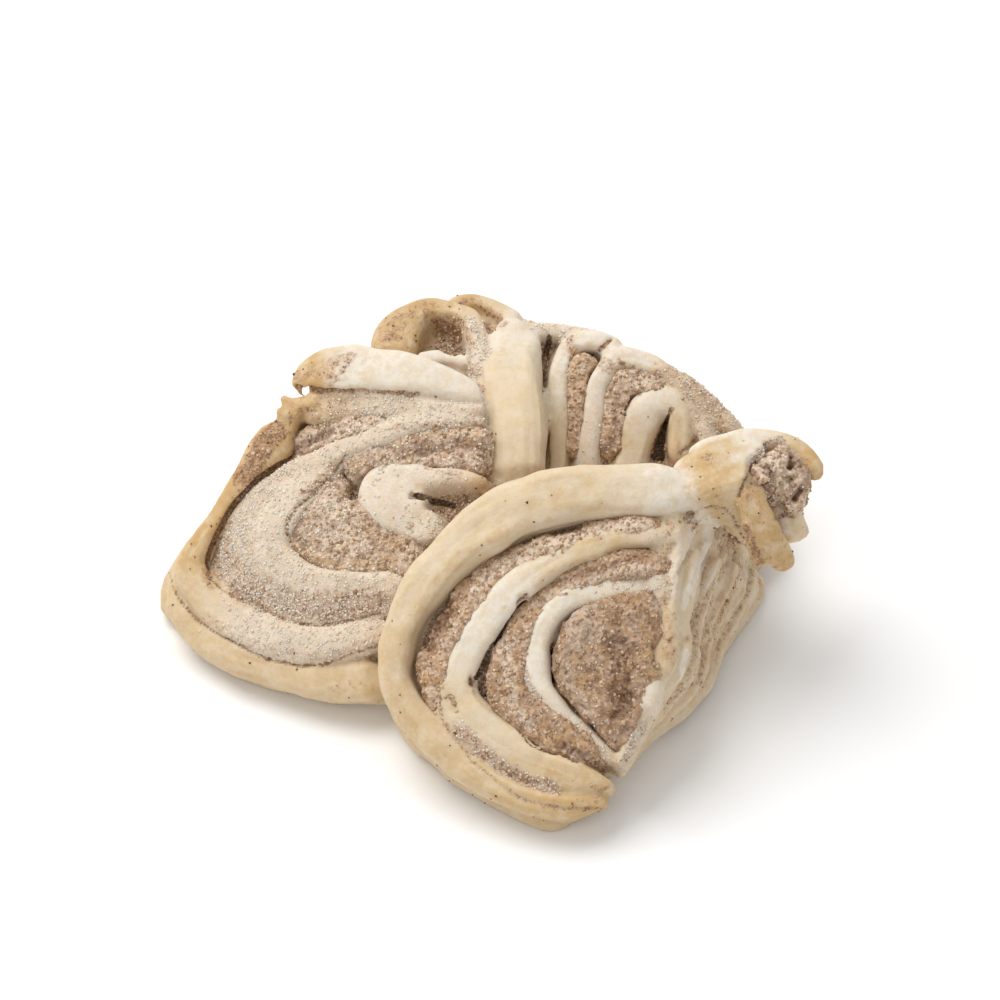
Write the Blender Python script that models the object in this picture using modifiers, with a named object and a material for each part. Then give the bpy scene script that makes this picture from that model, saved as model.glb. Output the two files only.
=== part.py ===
"""Raw cinnamon bun: pressed dough rolls whose spiral faces open in several leaning lobes.

All driving sizes are in millimetres, and the model is made in metres with +Z up.
The bun stands on its flat underside. Its front is towards -Y.
The relief was laid out as a person sees it who stands in front of the bun and looks down
at VIEW_ELEVATION: a position on a lobe is given as millimetres to the right and millimetres
up in that view, and the lobe's own face then gives the height and the depth.
"""

import math

import bmesh
import bpy
import numpy as np

MM = 0.001
VIEW_ELEVATION = math.radians(48.0)
PARTS = "cinnamon bun"
CUTTERS = "cutters"

# Fineness of the model, in millimetres or counts
DOUGH_VOXEL = 0.9
DOUGH_TRIANGLES = 6200
FILLING_VOXEL = 0.5
FILLING_TRIANGLES = 360
HOLLOW_TRIANGLES = 200
BAND_RINGS = 30
BAND_SIDES = 14
CLEARANCE = 0.4

# The layers of filling run down through the lobes to this height over the underside
FILLING_FLOOR = 2.2

# The bodies reach this far under the ground before the underside is cut flat
UNDERSIDE = -3.0

# Middle of the finished bun on the ground plan, which the model is moved by
MIDDLE_X = -1.36
MIDDLE_Y = -25.52

# Section of a strip: 2 is an ellipse, more is squarer; its ends close over this many rings
SQUARENESS = 2.6
END_RINGS = 2

DOUGH_COLOUR = (0.74, 0.60, 0.42, 1.0)
FILLING_COLOUR = (0.40, 0.26, 0.17, 1.0)


class Face:
    """The gently domed surface that carries one lobe's spiral: a sloping plane less a shallow dome."""

    def __init__(self, height, slope_x, slope_y, dome, dome_x, dome_y):
        self.height = height
        self.slope_x = slope_x
        self.slope_y = slope_y
        self.dome = dome
        self.dome_x = dome_x
        self.dome_y = dome_y

    def level(self, x, y):
        """Height of the face over a place on the ground."""
        fall = (x - self.dome_x) ** 2 + (y - self.dome_y) ** 2
        return self.height + self.slope_x * x + self.slope_y * y - self.dome * fall

    def place(self, right, up, lift=0.0):
        """The point that is seen right and up millimetres from the middle, lift above the face."""
        y = 0.0
        for _ in range(12):
            seen = (self.level(right, y) + lift) * math.cos(VIEW_ELEVATION) + y * math.sin(VIEW_ELEVATION)
            rise = self.slope_y - 2.0 * self.dome * (y - self.dome_y)
            y -= (seen - up) / (rise * math.cos(VIEW_ELEVATION) + math.sin(VIEW_ELEVATION))
        return np.array((right, y, self.level(right, y) + lift))

    def normal(self, point):
        """The face's upward normal at a point."""
        across = self.slope_x - 2.0 * self.dome * (point[0] - self.dome_x)
        along = self.slope_y - 2.0 * self.dome * (point[1] - self.dome_y)
        direction = np.array((-across, -along, 1.0))
        return direction / np.linalg.norm(direction)


# The lobes' faces: height over the origin, slopes to the right and to the back, dome
LEFT = Face(36.5, 0.25, 0.42, 0.005, -20.0, -15.0)
FRONT = Face(49.3, 0.13, 0.60, 0.003, 15.0, -40.0)
BACK = Face(23.0, 0.0, 0.50, 0.004, 15.0, 5.0)
LEVEL = Face(28.0, 0.0, 0.0, 0.0, 0.0, 0.0)
BEHIND = Face(9.0, 0.0, -0.9, 0.0, 0.0, 0.0)

# The front lobe's fold ridge and the foot of its flank as seen, right and up
RIDGE = ((26.4, -2.0), (26.6, -9.0), (26.0, -16.0), (26.2, -23.0), (23.4, -28.6), (21.0, -34.0), (18.2, -40.0))
FOOT = ((40.4, -11.5), (37.6, -17.3), (33.6, -23.2), (31.4, -28.6), (27.6, -32.6), (22.4, -36.0), (17.2, -41.6))
FOOT_HEIGHT = -25.5
FLANK_LEAVES = 6
LEAF_STEP = 1.0


def smooth_curve(points, count, closed=False):
    """Evenly spaced points on a Catmull-Rom curve through rows of values; length is measured in 3-D."""
    rows = np.array(points, dtype=float)
    if closed:
        rows = np.vstack((rows[-1], rows, rows[:2]))
    else:
        rows = np.vstack((2 * rows[0] - rows[1], rows, 2 * rows[-1] - rows[-2]))
    steps = np.linspace(0.0, 1.0, 24, endpoint=False)[:, None]
    pieces = []
    for a, b, c, d in zip(rows, rows[1:], rows[2:], rows[3:]):
        pieces.append(0.5 * (2 * b + (c - a) * steps + (2 * a - 5 * b + 4 * c - d) * steps ** 2
                             + (3 * b - a - 3 * c + d) * steps ** 3))
    pieces.append(rows[-2][None, :])
    fine = np.vstack(pieces)
    run = np.concatenate(([0.0], np.cumsum(np.linalg.norm(np.diff(fine[:, :3], axis=0), axis=1))))
    wanted = np.linspace(0.0, run[-1], count, endpoint=not closed)
    return np.column_stack([np.interp(wanted, run, fine[:, column]) for column in range(fine.shape[1])])


class Shape:
    """Closed surfaces gathered as plain vertices and faces."""

    def __init__(self):
        self.vertices = []
        self.faces = []

    def tube(self, rings):
        """A closed skin over equal rings of points, with a fan on each end."""
        start = len(self.vertices)
        sides = len(rings[0])
        for ring in rings:
            self.vertices.extend(tuple(point) for point in ring)
        for row in range(len(rings) - 1):
            for side in range(sides):
                a = start + row * sides + side
                b = start + row * sides + (side + 1) % sides
                self.faces.append((a, b, b + sides, a + sides))
        for row, order in ((0, -1), (len(rings) - 1, 1)):
            hub = len(self.vertices)
            self.vertices.append(tuple(np.mean(rings[row], axis=0)))
            for side in range(sides):
                a = start + row * sides + side
                b = start + row * sides + (side + 1) % sides
                self.faces.append((a, b, hub) if order > 0 else (b, a, hub))

    def add(self, other):
        """Takes in another shape's surfaces."""
        start = len(self.vertices)
        self.vertices.extend(other.vertices)
        self.faces.extend(tuple(index + start for index in face) for face in other.faces)
        return self


def sweep(line, normals, depth):
    """A closed strip along a line of rows (x, y, z, width), whose top faces along the normals.

    depth is how far it reaches below its top, one value or one for each row. Its section is a
    rounded oblong, and its ends close in over the first and last rings.
    """
    depths = np.broadcast_to(depth, len(line))
    turns = np.linspace(0.0, 2 * math.pi, BAND_SIDES, endpoint=False)
    rings = []
    for index, row in enumerate(line):
        point = row[:3]
        before = line[max(index - 1, 0), :3]
        after = line[min(index + 1, len(line) - 1), :3]
        ahead = (after - before) / np.linalg.norm(after - before)
        side = np.cross(ahead, normals[index])
        side /= np.linalg.norm(side)
        top = np.cross(side, ahead)
        end = min(index, len(line) - 1 - index)
        closing = math.sqrt(min(1.0, (end + 0.35) / (END_RINGS + 0.35)))
        half_width = row[3] / 2 * closing
        half_depth = depths[index] / 2 * (0.5 + 0.5 * closing)
        middle = point - top * depths[index] / 2
        ring = []
        for turn in turns:
            across = math.copysign(abs(math.cos(turn)) ** (2 / SQUARENESS), math.cos(turn))
            rise = math.copysign(abs(math.sin(turn)) ** (2 / SQUARENESS), math.sin(turn))
            ring.append(middle + side * across * half_width + top * rise * half_depth)
        rings.append(ring)
    shape = Shape()
    shape.tube(rings)
    return shape


def band(face, points, depth, floor=None):
    """A strip of dough or filling along a lobe's face.

    points are rows of (right, up, width, lift): the middle of the strip's top as seen, its width,
    and its lift above the face. Where a floor is given, the strip stays above that height.
    """
    rows = [(*face.place(right, up, lift), width) for right, up, width, lift in points]
    line = smooth_curve(rows, BAND_RINGS)
    normals = [face.normal(row) for row in line]
    if floor is not None:
        depth = [min(depth, (row[2] - floor) / normal[2]) for row, normal in zip(line, normals)]
    return sweep(line, normals, depth)


def strap(points, depth):
    """A strip of skin round the side of the bun, through rows of (x, y, z, width)."""
    line = smooth_curve(points, BAND_RINGS)
    ahead = np.gradient(line[:, :2], axis=0)
    normals = np.column_stack((-ahead[:, 1], ahead[:, 0], np.full(len(line), 0.35)))
    return sweep(line, normals, depth)


def mound(tops, outline, roundness=3.0, belly=4.5):
    """A body of dough from the ground up to the lowest of some faces.

    tops are pairs of a face and how far the body stays under it, outline is the widest outline on
    the ground plan, roundness is how far the edges draw in, and belly is the height where the
    side is widest.
    """
    def level(x, y):
        return min(face.level(x, y) - drop for face, drop in tops)

    ring = smooth_curve([(x, y, 0.0) for x, y in outline], 56, closed=True)[:, :2]
    middle = ring.mean(axis=0)
    out = ring - middle
    out = out / np.linalg.norm(out, axis=1)[:, None]
    widest = np.minimum(belly, 0.5 * np.array([level(x, y) for x, y in ring]))
    rings = [np.column_stack((ring - out * roundness, np.full(len(ring), UNDERSIDE)))]
    for part, draw in ((0.0, 0.75), (0.4, 0.3), (1.0, 0.0)):
        rings.append(np.column_stack((ring - out * roundness * draw, widest * part)))
    for part, draw in ((0.5, 0.08), (0.8, 0.3), (0.95, 0.65), (1.0, 1.1)):
        plan = ring - out * roundness * draw
        heights = np.array([level(x, y) for x, y in plan])
        rings.append(np.column_stack((plan, widest + (heights - widest) * part)))
    for shrink in (0.8, 0.65, 0.5, 0.35, 0.2):
        plan = middle + (ring - middle) * shrink
        rings.append(np.column_stack((plan, [level(x, y) for x, y in plan])))
    shape = Shape()
    shape.tube([list(map(tuple, one)) for one in rings])
    return shape


def left_lobe():
    """The left spiral: an outer band, an inner mound of two turns and a knob, open to the right."""
    parts = [
        mound([(LEFT, 5.0)],
              [(-51.3, -23.0), (-47.4, -28.8), (-41.2, -34.8), (-32.6, -39.8), (-20, -43.6), (-5, -43),
               (4, -30), (6, -5), (-8, 10), (-23, 5), (-31, 0), (-37.5, -6.5), (-42.5, -12),
               (-48.5, -17.5)]),
        # Lip that ends in a cut tip at the back left
        band(LEFT, [(-1.5, 16.5, 7.0, 1.8), (-9, 19.0, 6.6, 2.4), (-16, 20.0, 6.8, 3.0),
                    (-23, 20.3, 6.6, 3.0), (-28.5, 18.6, 4.6, 2.6), (-32, 17.2, 2.6, 2.2)], 6.0),
        # Pale strip under the lip
        band(LEFT, [(-1.5, 14.0, 3.0, 0.8), (-12, 14.6, 3.4, 0.8), (-22, 14.8, 3.2, 0.6),
                    (-30, 14.6, 3.0, 0.2)], 6.0),
        # Outer band down the left side and round the bottom
        band(LEFT, [(-30, 14.6, 3.4, 1.0), (-34.5, 9.8, 6.4, 1.6), (-39.0, 3.0, 4.4, 1.6),
                    (-43.8, -3.6, 4.0, 1.4), (-47.0, -10.5, 6.2, 1.0), (-44.6, -15.4, 5.2, 0.6),
                    (-37.0, -18.8, 3.6, 0.6), (-28, -21.2, 3.4, 0.8), (-17, -19.6, 3.2, 0.8)], 8.0),
        # Smooth skin below it
        band(LEFT, [(-49.5, -12.5, 2.0, -0.6), (-49.6, -16.2, 2.6, -0.8), (-46.0, -20.4, 3.6, -0.8),
                    (-39.0, -24.2, 4.6, -0.6), (-29, -27.2, 5.6, -0.4), (-17, -27.0, 8.0, -0.4)], 9.0),
        # First turn of the inner mound
        band(LEFT, [(-1.0, 12.6, 3.2, 0.4), (-10, 11.8, 4.4, 0.8), (-19, 9.6, 4.0, 1.0),
                    (-28, 5.6, 4.0, 1.2), (-35, 0.0, 4.0, 1.2), (-39.4, -6.0, 3.6, 0.4),
                    (-38.5, -11.0, 3.2, -0.6)], 8.0),
        # Second turn, a pale loop round the grainy middle
        band(LEFT, [(-22.5, 6.6, 3.4, 0.6), (-28, 2.6, 4.6, 1.0), (-33.5, -3.6, 5.0, 1.2),
                    (-32.5, -9.6, 4.6, 1.0), (-25, -13.2, 4.2, 0.8), (-15, -13.6, 4.2, 0.8)], 8.0),
        # Knob in the middle with its tail to the right
        band(LEFT, [(-19.6, -1.0, 5.0, 0.6), (-17.6, 2.6, 7.4, 1.4), (-12, 3.2, 6.0, 1.2),
                    (-6, 3.0, 3.0, 1.0), (-1, 3.4, 2.6, 1.0)], 7.0),
    ]
    return parts


def front_lobe():
    """The front spiral, which lies on the others: a broad rim and two inner turns."""
    parts = [
        # Body: under the spiral in front, and falling into the crease behind the rim
        mound([(FRONT, 6.5), (BEHIND, 3.5)],
              [(-16.5, -43), (-16, -48.5), (-12, -53.5), (-5, -60), (2, -65.4), (8.5, -67.6),
               (13.5, -65.5), (16.5, -60), (21.0, -53), (25.0, -47.5), (27.5, -41), (29, -34),
               (34, -26), (37.5, -17), (34, -9), (22, -8), (8, -13), (-4, -24), (-12, -34)]),
        # Broad rim
        band(FRONT, [(26.5, 1.2, 8.0, 0.0), (18, 1.8, 7.6, 0.4), (9, 1.0, 8.6, 0.6),
                     (1.5, -1.4, 9.0, 0.6), (-5.3, -5.4, 8.4, 0.6), (-10.8, -11.0, 6.8, 0.4),
                     (-14.6, -17.0, 5.2, 0.4), (-16.2, -22.8, 4.5, 0.4), (-15.6, -28.6, 4.8, 0.4),
                     (-10.2, -35.4, 5.8, 0.2), (-3.8, -41.6, 5.2, 0.0), (3.0, -45.2, 4.6, 0.0),
                     (9.0, -46.8, 4.2, 0.0), (15.0, -45.6, 3.0, 0.0)], 9.0),
        # First inner turn
        band(FRONT, [(25.5, -5.8, 3.2, -0.6), (18.8, -6.2, 3.4, -0.8), (12, -8.0, 4.4, -1.0),
                     (6, -11.0, 5.6, -1.0), (0.8, -14.8, 6.6, -1.0), (-3.8, -19.8, 7.0, -0.8),
                     (-6.3, -25.2, 5.8, -0.6), (-5.0, -30.8, 5.6, -0.6), (-0.4, -35.2, 5.8, -0.8),
                     (5.3, -38.2, 4.8, -0.8), (11.3, -40.8, 3.2, -0.4), (15.4, -41.8, 2.2, 0.0)], 9.0),
        # Second inner turn
        band(FRONT, [(24.0, -13.0, 3.6, -1.0), (17.3, -13.2, 3.4, -1.2), (12, -13.4, 2.4, -1.4),
                     (8.0, -15.6, 2.8, -1.4), (5.5, -18.8, 3.6, -1.2), (4.6, -23.4, 4.4, -1.0),
                     (5.4, -28.0, 4.2, -1.0), (9.8, -32.0, 3.8, -1.2), (14.8, -35.4, 3.4, -0.8),
                     (18.0, -38.4, 2.4, -0.2)], 9.0),
        # Fold ridge where the turns bend over into the flank
        band(FRONT, [(*point, 3.4, -0.4) for point in RIDGE], 9.0),
    ]
    return parts + flank()


def flank():
    """Thin layers on the right of the front lobe, which fan from the fold ridge to the ground."""
    ridge = smooth_curve([FRONT.place(right, up, -0.8) for right, up in RIDGE], BAND_RINGS)
    foot = smooth_curve([LEVEL.place(right, up, FOOT_HEIGHT) for right, up in FOOT], BAND_RINGS)
    reach = foot - ridge
    leaves = []
    for leaf in range(FLANK_LEAVES):
        share = (leaf + 0.7) / (FLANK_LEAVES - 0.3)
        line = ridge + reach * share
        width = np.linalg.norm(reach, axis=1) * 1.1 / FLANK_LEAVES + 0.5
        along = np.gradient(line, axis=0)
        normals = np.cross(along, reach)
        normals *= np.sign(normals[:, :1])
        normals /= np.linalg.norm(normals, axis=1)[:, None]
        line = line + normals * LEAF_STEP * (leaf % 2)
        leaves.append(sweep(np.column_stack((line, width)), normals, 8.0))
    return leaves


def back_lobe():
    """The lobe behind: a smooth band over the middle and three arched strips round a hole."""
    parts = [
        mound([(BACK, 4.0)],
              [(-14, 6), (-13, 13.5), (-5, 17.0), (6, 15.5), (17, 10.5), (28, 4), (37, -4),
               (41, -11), (38, -17), (22, -24), (-4, -26), (-14, -10)]),
        # Smooth band over the middle and down the back
        band(BACK, [(2.2, 3.0, 8.4, 9.0), (2.2, 12.0, 8.4, 9.0), (1.8, 19.5, 8.8, 6.6),
                    (2.4, 25.0, 8.0, 2.6), (4.6, 27.8, 6.0, -1.2)], 9.0),
        # Arched rim strips
        band(BACK, [(8.6, 2.0, 3.2, -0.6), (8.5, 8.0, 3.2, 0.2), (8.5, 15, 3.2, 1.6), (9.0, 22.5, 3.2, 1.8),
                    (11.4, 25.0, 3.4, 1.2), (15.0, 24.8, 3.4, 0.8), (18.0, 23.2, 3.0, 0.8)], 8.0),
        band(BACK, [(13.0, 2.0, 3.2, -0.6), (13.2, 8.0, 3.0, 0.2), (14.2, 14, 2.8, 1.2), (15.6, 20, 2.8, 1.8),
                    (18.8, 22.2, 3.2, 2.0), (24.0, 20.4, 3.2, 2.2), (30.0, 16.6, 3.2, 2.6),
                    (34.6, 13.2, 3.2, 3.0), (37.6, 10.0, 3.2, 2.6)], 9.0),
        # Inner loop round the hole
        band(BACK, [(18.6, 2.0, 4.0, -1.0), (19.6, 6.0, 4.6, 0.0), (20.2, 11.0, 4.2, 1.2),
                    (22.0, 15.0, 3.6, 1.8), (25.0, 16.0, 3.2, 2.0), (28.0, 13.8, 3.0, 2.0),
                    (29.2, 9.6, 3.4, 1.4), (29.2, 5.0, 3.4, 0.6)], 8.0),
        band(BACK, [(25.8, 12.4, 1.8, 0.6), (26.4, 8.6, 2.0, 0.2), (26.4, 4.6, 2.0, 0.0)], 7.0),
    ]
    return parts


def back_folds():
    """Skin wrapped round the back of the bun in low layers, crossed by the middle band's end."""
    tail = smooth_curve([(2.6, 11.5, 25.0, 7.0), (2.6, 15.8, 19.0, 7.6), (2.2, 18.0, 11.0, 8.0),
                         (1.6, 18.0, 3.0, 7.0)], BAND_RINGS)
    return [
        sweep(tail, [(0.0, 1.0, 0.3)] * BAND_RINGS, 5.0),
        strap([(-42, -9, 5.5, 8.0), (-33, -1, 6.5, 9.0), (-22, 8, 7.0, 10.0), (-11, 15.5, 6.5, 10.0),
               (2, 17.2, 6.0, 9.0), (16, 12.0, 6.0, 9.0), (29, 4.0, 5.5, 8.5), (39, -7, 5.0, 8.0)], 6.0),
        strap([(-34, -4, 17.0, 6.0), (-24, 4.5, 18.0, 8.0), (-14, 12.5, 17.5, 8.0), (-6, 16.0, 17.0, 7.0)], 6.0),
        strap([(8, 14.0, 15.0, 7.0), (19, 9.0, 14.5, 7.0), (30, 1.0, 14.0, 7.0), (38, -8, 12.5, 6.0)], 6.0),
    ]


def right_curl():
    """The curl at the right: a knob, a hooked band that overhangs, and a tongue that hangs from it."""
    parts = [
        # Knob that closes the front rim
        band(LEVEL, [(26.0, 2.6, 7.4, 6.0), (30, 4.2, 9.6, 7.4), (34.5, 5.6, 10.4, 7.6),
                     (38.5, 6.2, 9.6, 6.6)], 11.0),
        # Body of the roll's end
        band(LEVEL, [(32, 2.6, 9.0, 4.0), (37, 3.0, 10.4, 3.6), (41.5, 2.2, 9.4, 2.4),
                     (44.0, 0.4, 7.0, 0.4)], 12.0),
        # Hooked outer band
        band(LEVEL, [(35.5, 9.2, 4.0, 6.6), (40.5, 9.8, 3.4, 6.8), (44.2, 8.2, 3.4, 6.2),
                     (46.8, 5.4, 3.4, 4.8), (47.4, 2.8, 3.0, 3.0)], 8.0),
        # Lower lobe under the hook
        band(LEVEL, [(43.6, 2.0, 4.2, 1.0), (43.8, -1.6, 4.0, -1.6), (42.6, -5.0, 3.4, -4.0)], 9.0),
        # Tongue
        band(LEVEL, [(37.4, 1.6, 4.2, 4.8), (38.2, -2.4, 4.6, 1.4), (40.0, -6.4, 4.4, -2.8),
                     (42.4, -9.6, 3.0, -6.6)], 3.4),
    ]
    return parts


def back_curls():
    """Two small curls at the back left, arched over a hole."""
    parts = [
        band(LEVEL, [(-15.4, 21.0, 6.0, -0.8), (-14.8, 25.4, 7.2, -0.4), (-11.6, 28.2, 5.0, 0.0),
                     (-7.4, 28.4, 3.8, 0.2), (-3.8, 26.6, 3.8, 0.6), (-2.6, 23.2, 3.8, 0.6),
                     (-3.0, 18.6, 3.0, -0.4)], 9.0),
        # Dome strip in front of the hole
        band(LEVEL, [(-12.4, 21.6, 2.0, -1.4), (-8.4, 22.2, 2.4, -1.0), (-5.2, 21.0, 2.0, -1.6)], 8.0),
        # Second curl behind
        band(LEVEL, [(-8.4, 29.4, 2.4, -1.6), (-5.6, 30.2, 2.6, -1.6), (-1.6, 29.4, 3.2, -1.6),
                     (3.2, 27.0, 3.6, -1.4)], 9.0),
    ]
    return parts


def fillings():
    """Each strip of filling: its name, the face it lies in, its points as for band, and its depth."""
    return {
        "filling_front_outer": (FRONT, [(24.5, -3.6, 2.8, -2.2), (18, -3.4, 3.4, -2.8), (9, -5.6, 4.6, -4.0),
                                        (1.5, -8.8, 5.4, -4.4), (-5.0, -13.6, 5.8, -4.4),
                                        (-9.6, -19.6, 5.4, -4.0), (-11.4, -25.4, 5.0, -3.2),
                                        (-8.6, -31.8, 4.0, -2.4), (-3.0, -38.0, 3.2, -1.8),
                                        (5.0, -42.4, 3.2, -1.4), (11.8, -44.0, 2.8, -1.2)], 13.0),
        "filling_front_inner": (FRONT, [(23.0, -9.4, 3.0, -2.4), (16, -10.2, 3.2, -2.6),
                                        (9.4, -12.6, 3.2, -3.0), (4.0, -17.0, 3.6, -3.6),
                                        (1.0, -22.0, 4.4, -3.4), (0.2, -27.2, 4.4, -2.8),
                                        (4.4, -32.6, 4.0, -2.4), (10.4, -37.0, 3.6, -1.8),
                                        (15.0, -39.6, 2.4, -1.4)], 13.0),
        "filling_front_middle": (FRONT, [(22.2, -17.4, 4.6, -2.4), (17.4, -18.4, 7.0, -2.4),
                                         (14.0, -22.4, 11.0, -2.2), (15.6, -28.0, 11.0, -2.2),
                                         (18.4, -34.0, 4.6, -2.2)], 13.0),
        "filling_left_outer": (LEFT, [(-14, 13.0, 1.8, -1.0), (-24, 12.2, 2.6, -1.4), (-32.0, 7.6, 3.4, -2.6),
                                      (-38.6, 0.6, 3.2, -3.0), (-42.6, -6.6, 3.6, -2.8),
                                      (-41.2, -12.6, 4.4, -1.8), (-33.0, -16.4, 4.0, -1.2),
                                      (-24, -17.6, 4.0, -1.0), (-15, -16.8, 4.0, -1.0)], 10.0),
        "filling_left_top": (LEFT, [(-1.0, 8.2, 5.6, -0.6), (-8, 8.6, 5.0, -0.6), (-15, 8.0, 3.8, -0.6),
                                    (-21, 6.8, 2.6, -0.8)], 12.0),
        "filling_left_middle": (LEFT, [(-30.0, -3.8, 4.0, -1.0), (-26, -4.4, 8.0, -0.8),
                                       (-20, -6.4, 9.0, -0.6), (-12, -7.0, 8.0, -0.8)], 10.0),
        "filling_back_outer": (BACK, [(10.8, 6.0, 2.6, -1.6), (11.6, 15, 3.0, -0.4), (12.8, 20.0, 3.0, 0.2),
                                      (15.2, 22.6, 2.0, 0.2)], 10.0),
        "filling_back_inner": (BACK, [(16.2, 6.0, 3.4, -1.6), (17.4, 13.0, 3.6, -0.6), (20.2, 18.4, 4.6, 0.2),
                                      (25.0, 18.6, 4.2, 0.4), (30.4, 14.6, 5.0, 0.4),
                                      (32.6, 11.4, 5.0, 0.4)], 8.0),
        "filling_curl": (LEVEL, [(38.6, 6.0, 4.0, 5.0), (41.6, 5.4, 6.0, 4.6), (44.2, 2.6, 5.6, 2.6),
                                 (44.6, -0.4, 4.0, 0.6)], 5.0),
    }


def hollows():
    """Holes in the dough: between the back curls and inside the back lobe's loop."""
    return {
        "hole_back_curls": band(LEVEL, [(-9.4, 25.4, 2.4, 1.0), (-7.4, 24.8, 3.6, 1.0),
                                        (-5.6, 23.8, 2.6, 1.0)], 9.0),
        "hole_back_lobe": band(BACK, [(24.6, 11.6, 1.6, 1.0), (23.8, 8.0, 2.4, 1.0),
                                      (23.4, 4.6, 2.8, 1.0)], 9.0),
    }


def put_in(thing, collection):
    """Links an object to the collection of that name, which is made where it is missing."""
    if collection not in bpy.data.collections:
        bpy.context.scene.collection.children.link(bpy.data.collections.new(collection))
    bpy.data.collections[collection].objects.link(thing)


def new_object(name, shape, collection):
    """A mesh object in metres from a shape in millimetres, moved so that the bun stands on the origin."""
    mesh = bpy.data.meshes.new(name)
    mesh.from_pydata([((x - MIDDLE_X) * MM, (y - MIDDLE_Y) * MM, z * MM) for x, y, z in shape.vertices],
                     [], shape.faces)
    mesh.update()
    thing = bpy.data.objects.new(name, mesh)
    put_in(thing, collection)
    return thing


def replace_mesh(thing):
    """Applies an object's modifiers."""
    view = bpy.context.evaluated_depsgraph_get()
    mesh = bpy.data.meshes.new_from_object(thing.evaluated_get(view))
    thing.modifiers.clear()
    old = thing.data
    thing.data = mesh
    bpy.data.meshes.remove(old)
    mesh.name = thing.name


def fuse(thing, voxel, rounds):
    """Makes one skin of the overlapping surfaces of an object and softens it."""
    remesh = thing.modifiers.new("Skin", "REMESH")
    remesh.mode = "VOXEL"
    remesh.voxel_size = voxel * MM
    soften = thing.modifiers.new("Soften", "SMOOTH")
    soften.factor = 0.5
    soften.iterations = rounds
    replace_mesh(thing)


def thin_out(thing, triangles):
    """Brings an object down to about the number of triangles."""
    thing.data.calc_loop_triangles()
    have = len(thing.data.loop_triangles)
    if have > triangles:
        fewer = thing.modifiers.new("Fewer", "DECIMATE")
        fewer.ratio = triangles / have
        replace_mesh(thing)


def flatten_underside(thing):
    """Cuts the object off at the ground and closes the cut with one flat face."""
    model = bmesh.new()
    model.from_mesh(thing.data)
    geometry = model.verts[:] + model.edges[:] + model.faces[:]
    bmesh.ops.bisect_plane(model, geom=geometry, dist=1e-6, plane_co=(0, 0, 0), plane_no=(0, 0, -1),
                           clear_outer=True)
    rim = [edge for edge in model.edges if edge.is_boundary]
    bmesh.ops.triangle_fill(model, use_beauty=True, use_dissolve=False, edges=rim, normal=(0, 0, -1))
    bmesh.ops.recalc_face_normals(model, faces=model.faces[:])
    model.to_mesh(thing.data)
    model.free()


def keep_largest(thing):
    """Drops any scrap that isn't joined to the largest body face to face."""
    model = bmesh.new()
    model.from_mesh(thing.data)
    left = set(model.faces)
    bodies = []
    while left:
        seed = left.pop()
        body = [seed]
        for face in body:
            for edge in face.edges:
                if edge.is_manifold:
                    for other in edge.link_faces:
                        if other in left:
                            left.discard(other)
                            body.append(other)
        bodies.append(body)
    bodies.sort(key=len, reverse=True)
    for body in bodies[1:]:
        bmesh.ops.delete(model, geom=body, context="FACES")
    model.to_mesh(thing.data)
    model.free()


def colour(thing, name, value, roughness):
    """Gives an object its material."""
    material = bpy.data.materials.get(name)
    if material is None:
        material = bpy.data.materials.new(name)
        material.use_nodes = True
        shader = material.node_tree.nodes["Principled BSDF"]
        shader.inputs["Base Color"].default_value = value
        shader.inputs["Roughness"].default_value = roughness
        shader.inputs["Metallic"].default_value = 0.0
    thing.data.materials.clear()
    thing.data.materials.append(material)


def swollen(thing, gap):
    """A copy of an object with its skin moved outwards by the gap."""
    room = bpy.data.objects.new("room_" + thing.name, thing.data.copy())
    put_in(room, CUTTERS)
    swell = room.modifiers.new("Swell", "DISPLACE")
    swell.mid_level = 0.0
    swell.strength = gap * MM
    replace_mesh(room)
    return room


def cut(thing, cutter):
    """Takes the cutter's space out of an object."""
    knife = thing.modifiers.new("Groove", "BOOLEAN")
    knife.operation = "DIFFERENCE"
    knife.solver = "EXACT"
    knife.object = cutter
    replace_mesh(thing)


def solid(name, shape, collection, voxel, rounds, triangles):
    """One closed body from overlapping surfaces, with about the given number of triangles."""
    thing = new_object(name, shape, collection)
    fuse(thing, voxel, rounds)
    thin_out(thing, triangles)
    return thing


def build():
    for thing in list(bpy.data.objects):
        bpy.data.objects.remove(thing)
    whole = Shape()
    for part in left_lobe() + front_lobe() + back_lobe() + back_folds() + right_curl() + back_curls():
        whole.add(part)
    dough = solid("dough", whole, PARTS, DOUGH_VOXEL, 3, DOUGH_TRIANGLES)
    flatten_underside(dough)
    for name, shape in hollows().items():
        hollow = solid(name, shape, CUTTERS, FILLING_VOXEL, 1, HOLLOW_TRIANGLES)
        cut(dough, hollow)
        bpy.data.objects.remove(hollow)
    for name, (face, points, depth) in fillings().items():
        layer = band(face, points, depth, FILLING_FLOOR)
        filling = solid(name, layer, PARTS, FILLING_VOXEL, 2, FILLING_TRIANGLES)
        colour(filling, "cinnamon filling", FILLING_COLOUR, 0.85)
        filling.data.shade_smooth()
        room = swollen(filling, CLEARANCE)
        cut(dough, room)
        bpy.data.objects.remove(room)
    keep_largest(dough)
    colour(dough, "raw dough", DOUGH_COLOUR, 0.7)
    dough.data.shade_smooth()


build()
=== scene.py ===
"""Looks of the raw cinnamon bun: fine dough, crumbly filling, sugar grains and cinnamon specks.

The bun is worked out in millimetres with the photograph's middle over the origin, and is then
moved to the frame, where it stands on the origin. A position on a lobe is given as millimetres
to the right and up as the camera sees it, and the lobe's own face gives the height and depth.
"""

import math

import bpy
import numpy as np
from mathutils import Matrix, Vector
from mathutils.bvhtree import BVHTree
from mathutils.kdtree import KDTree


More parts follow.
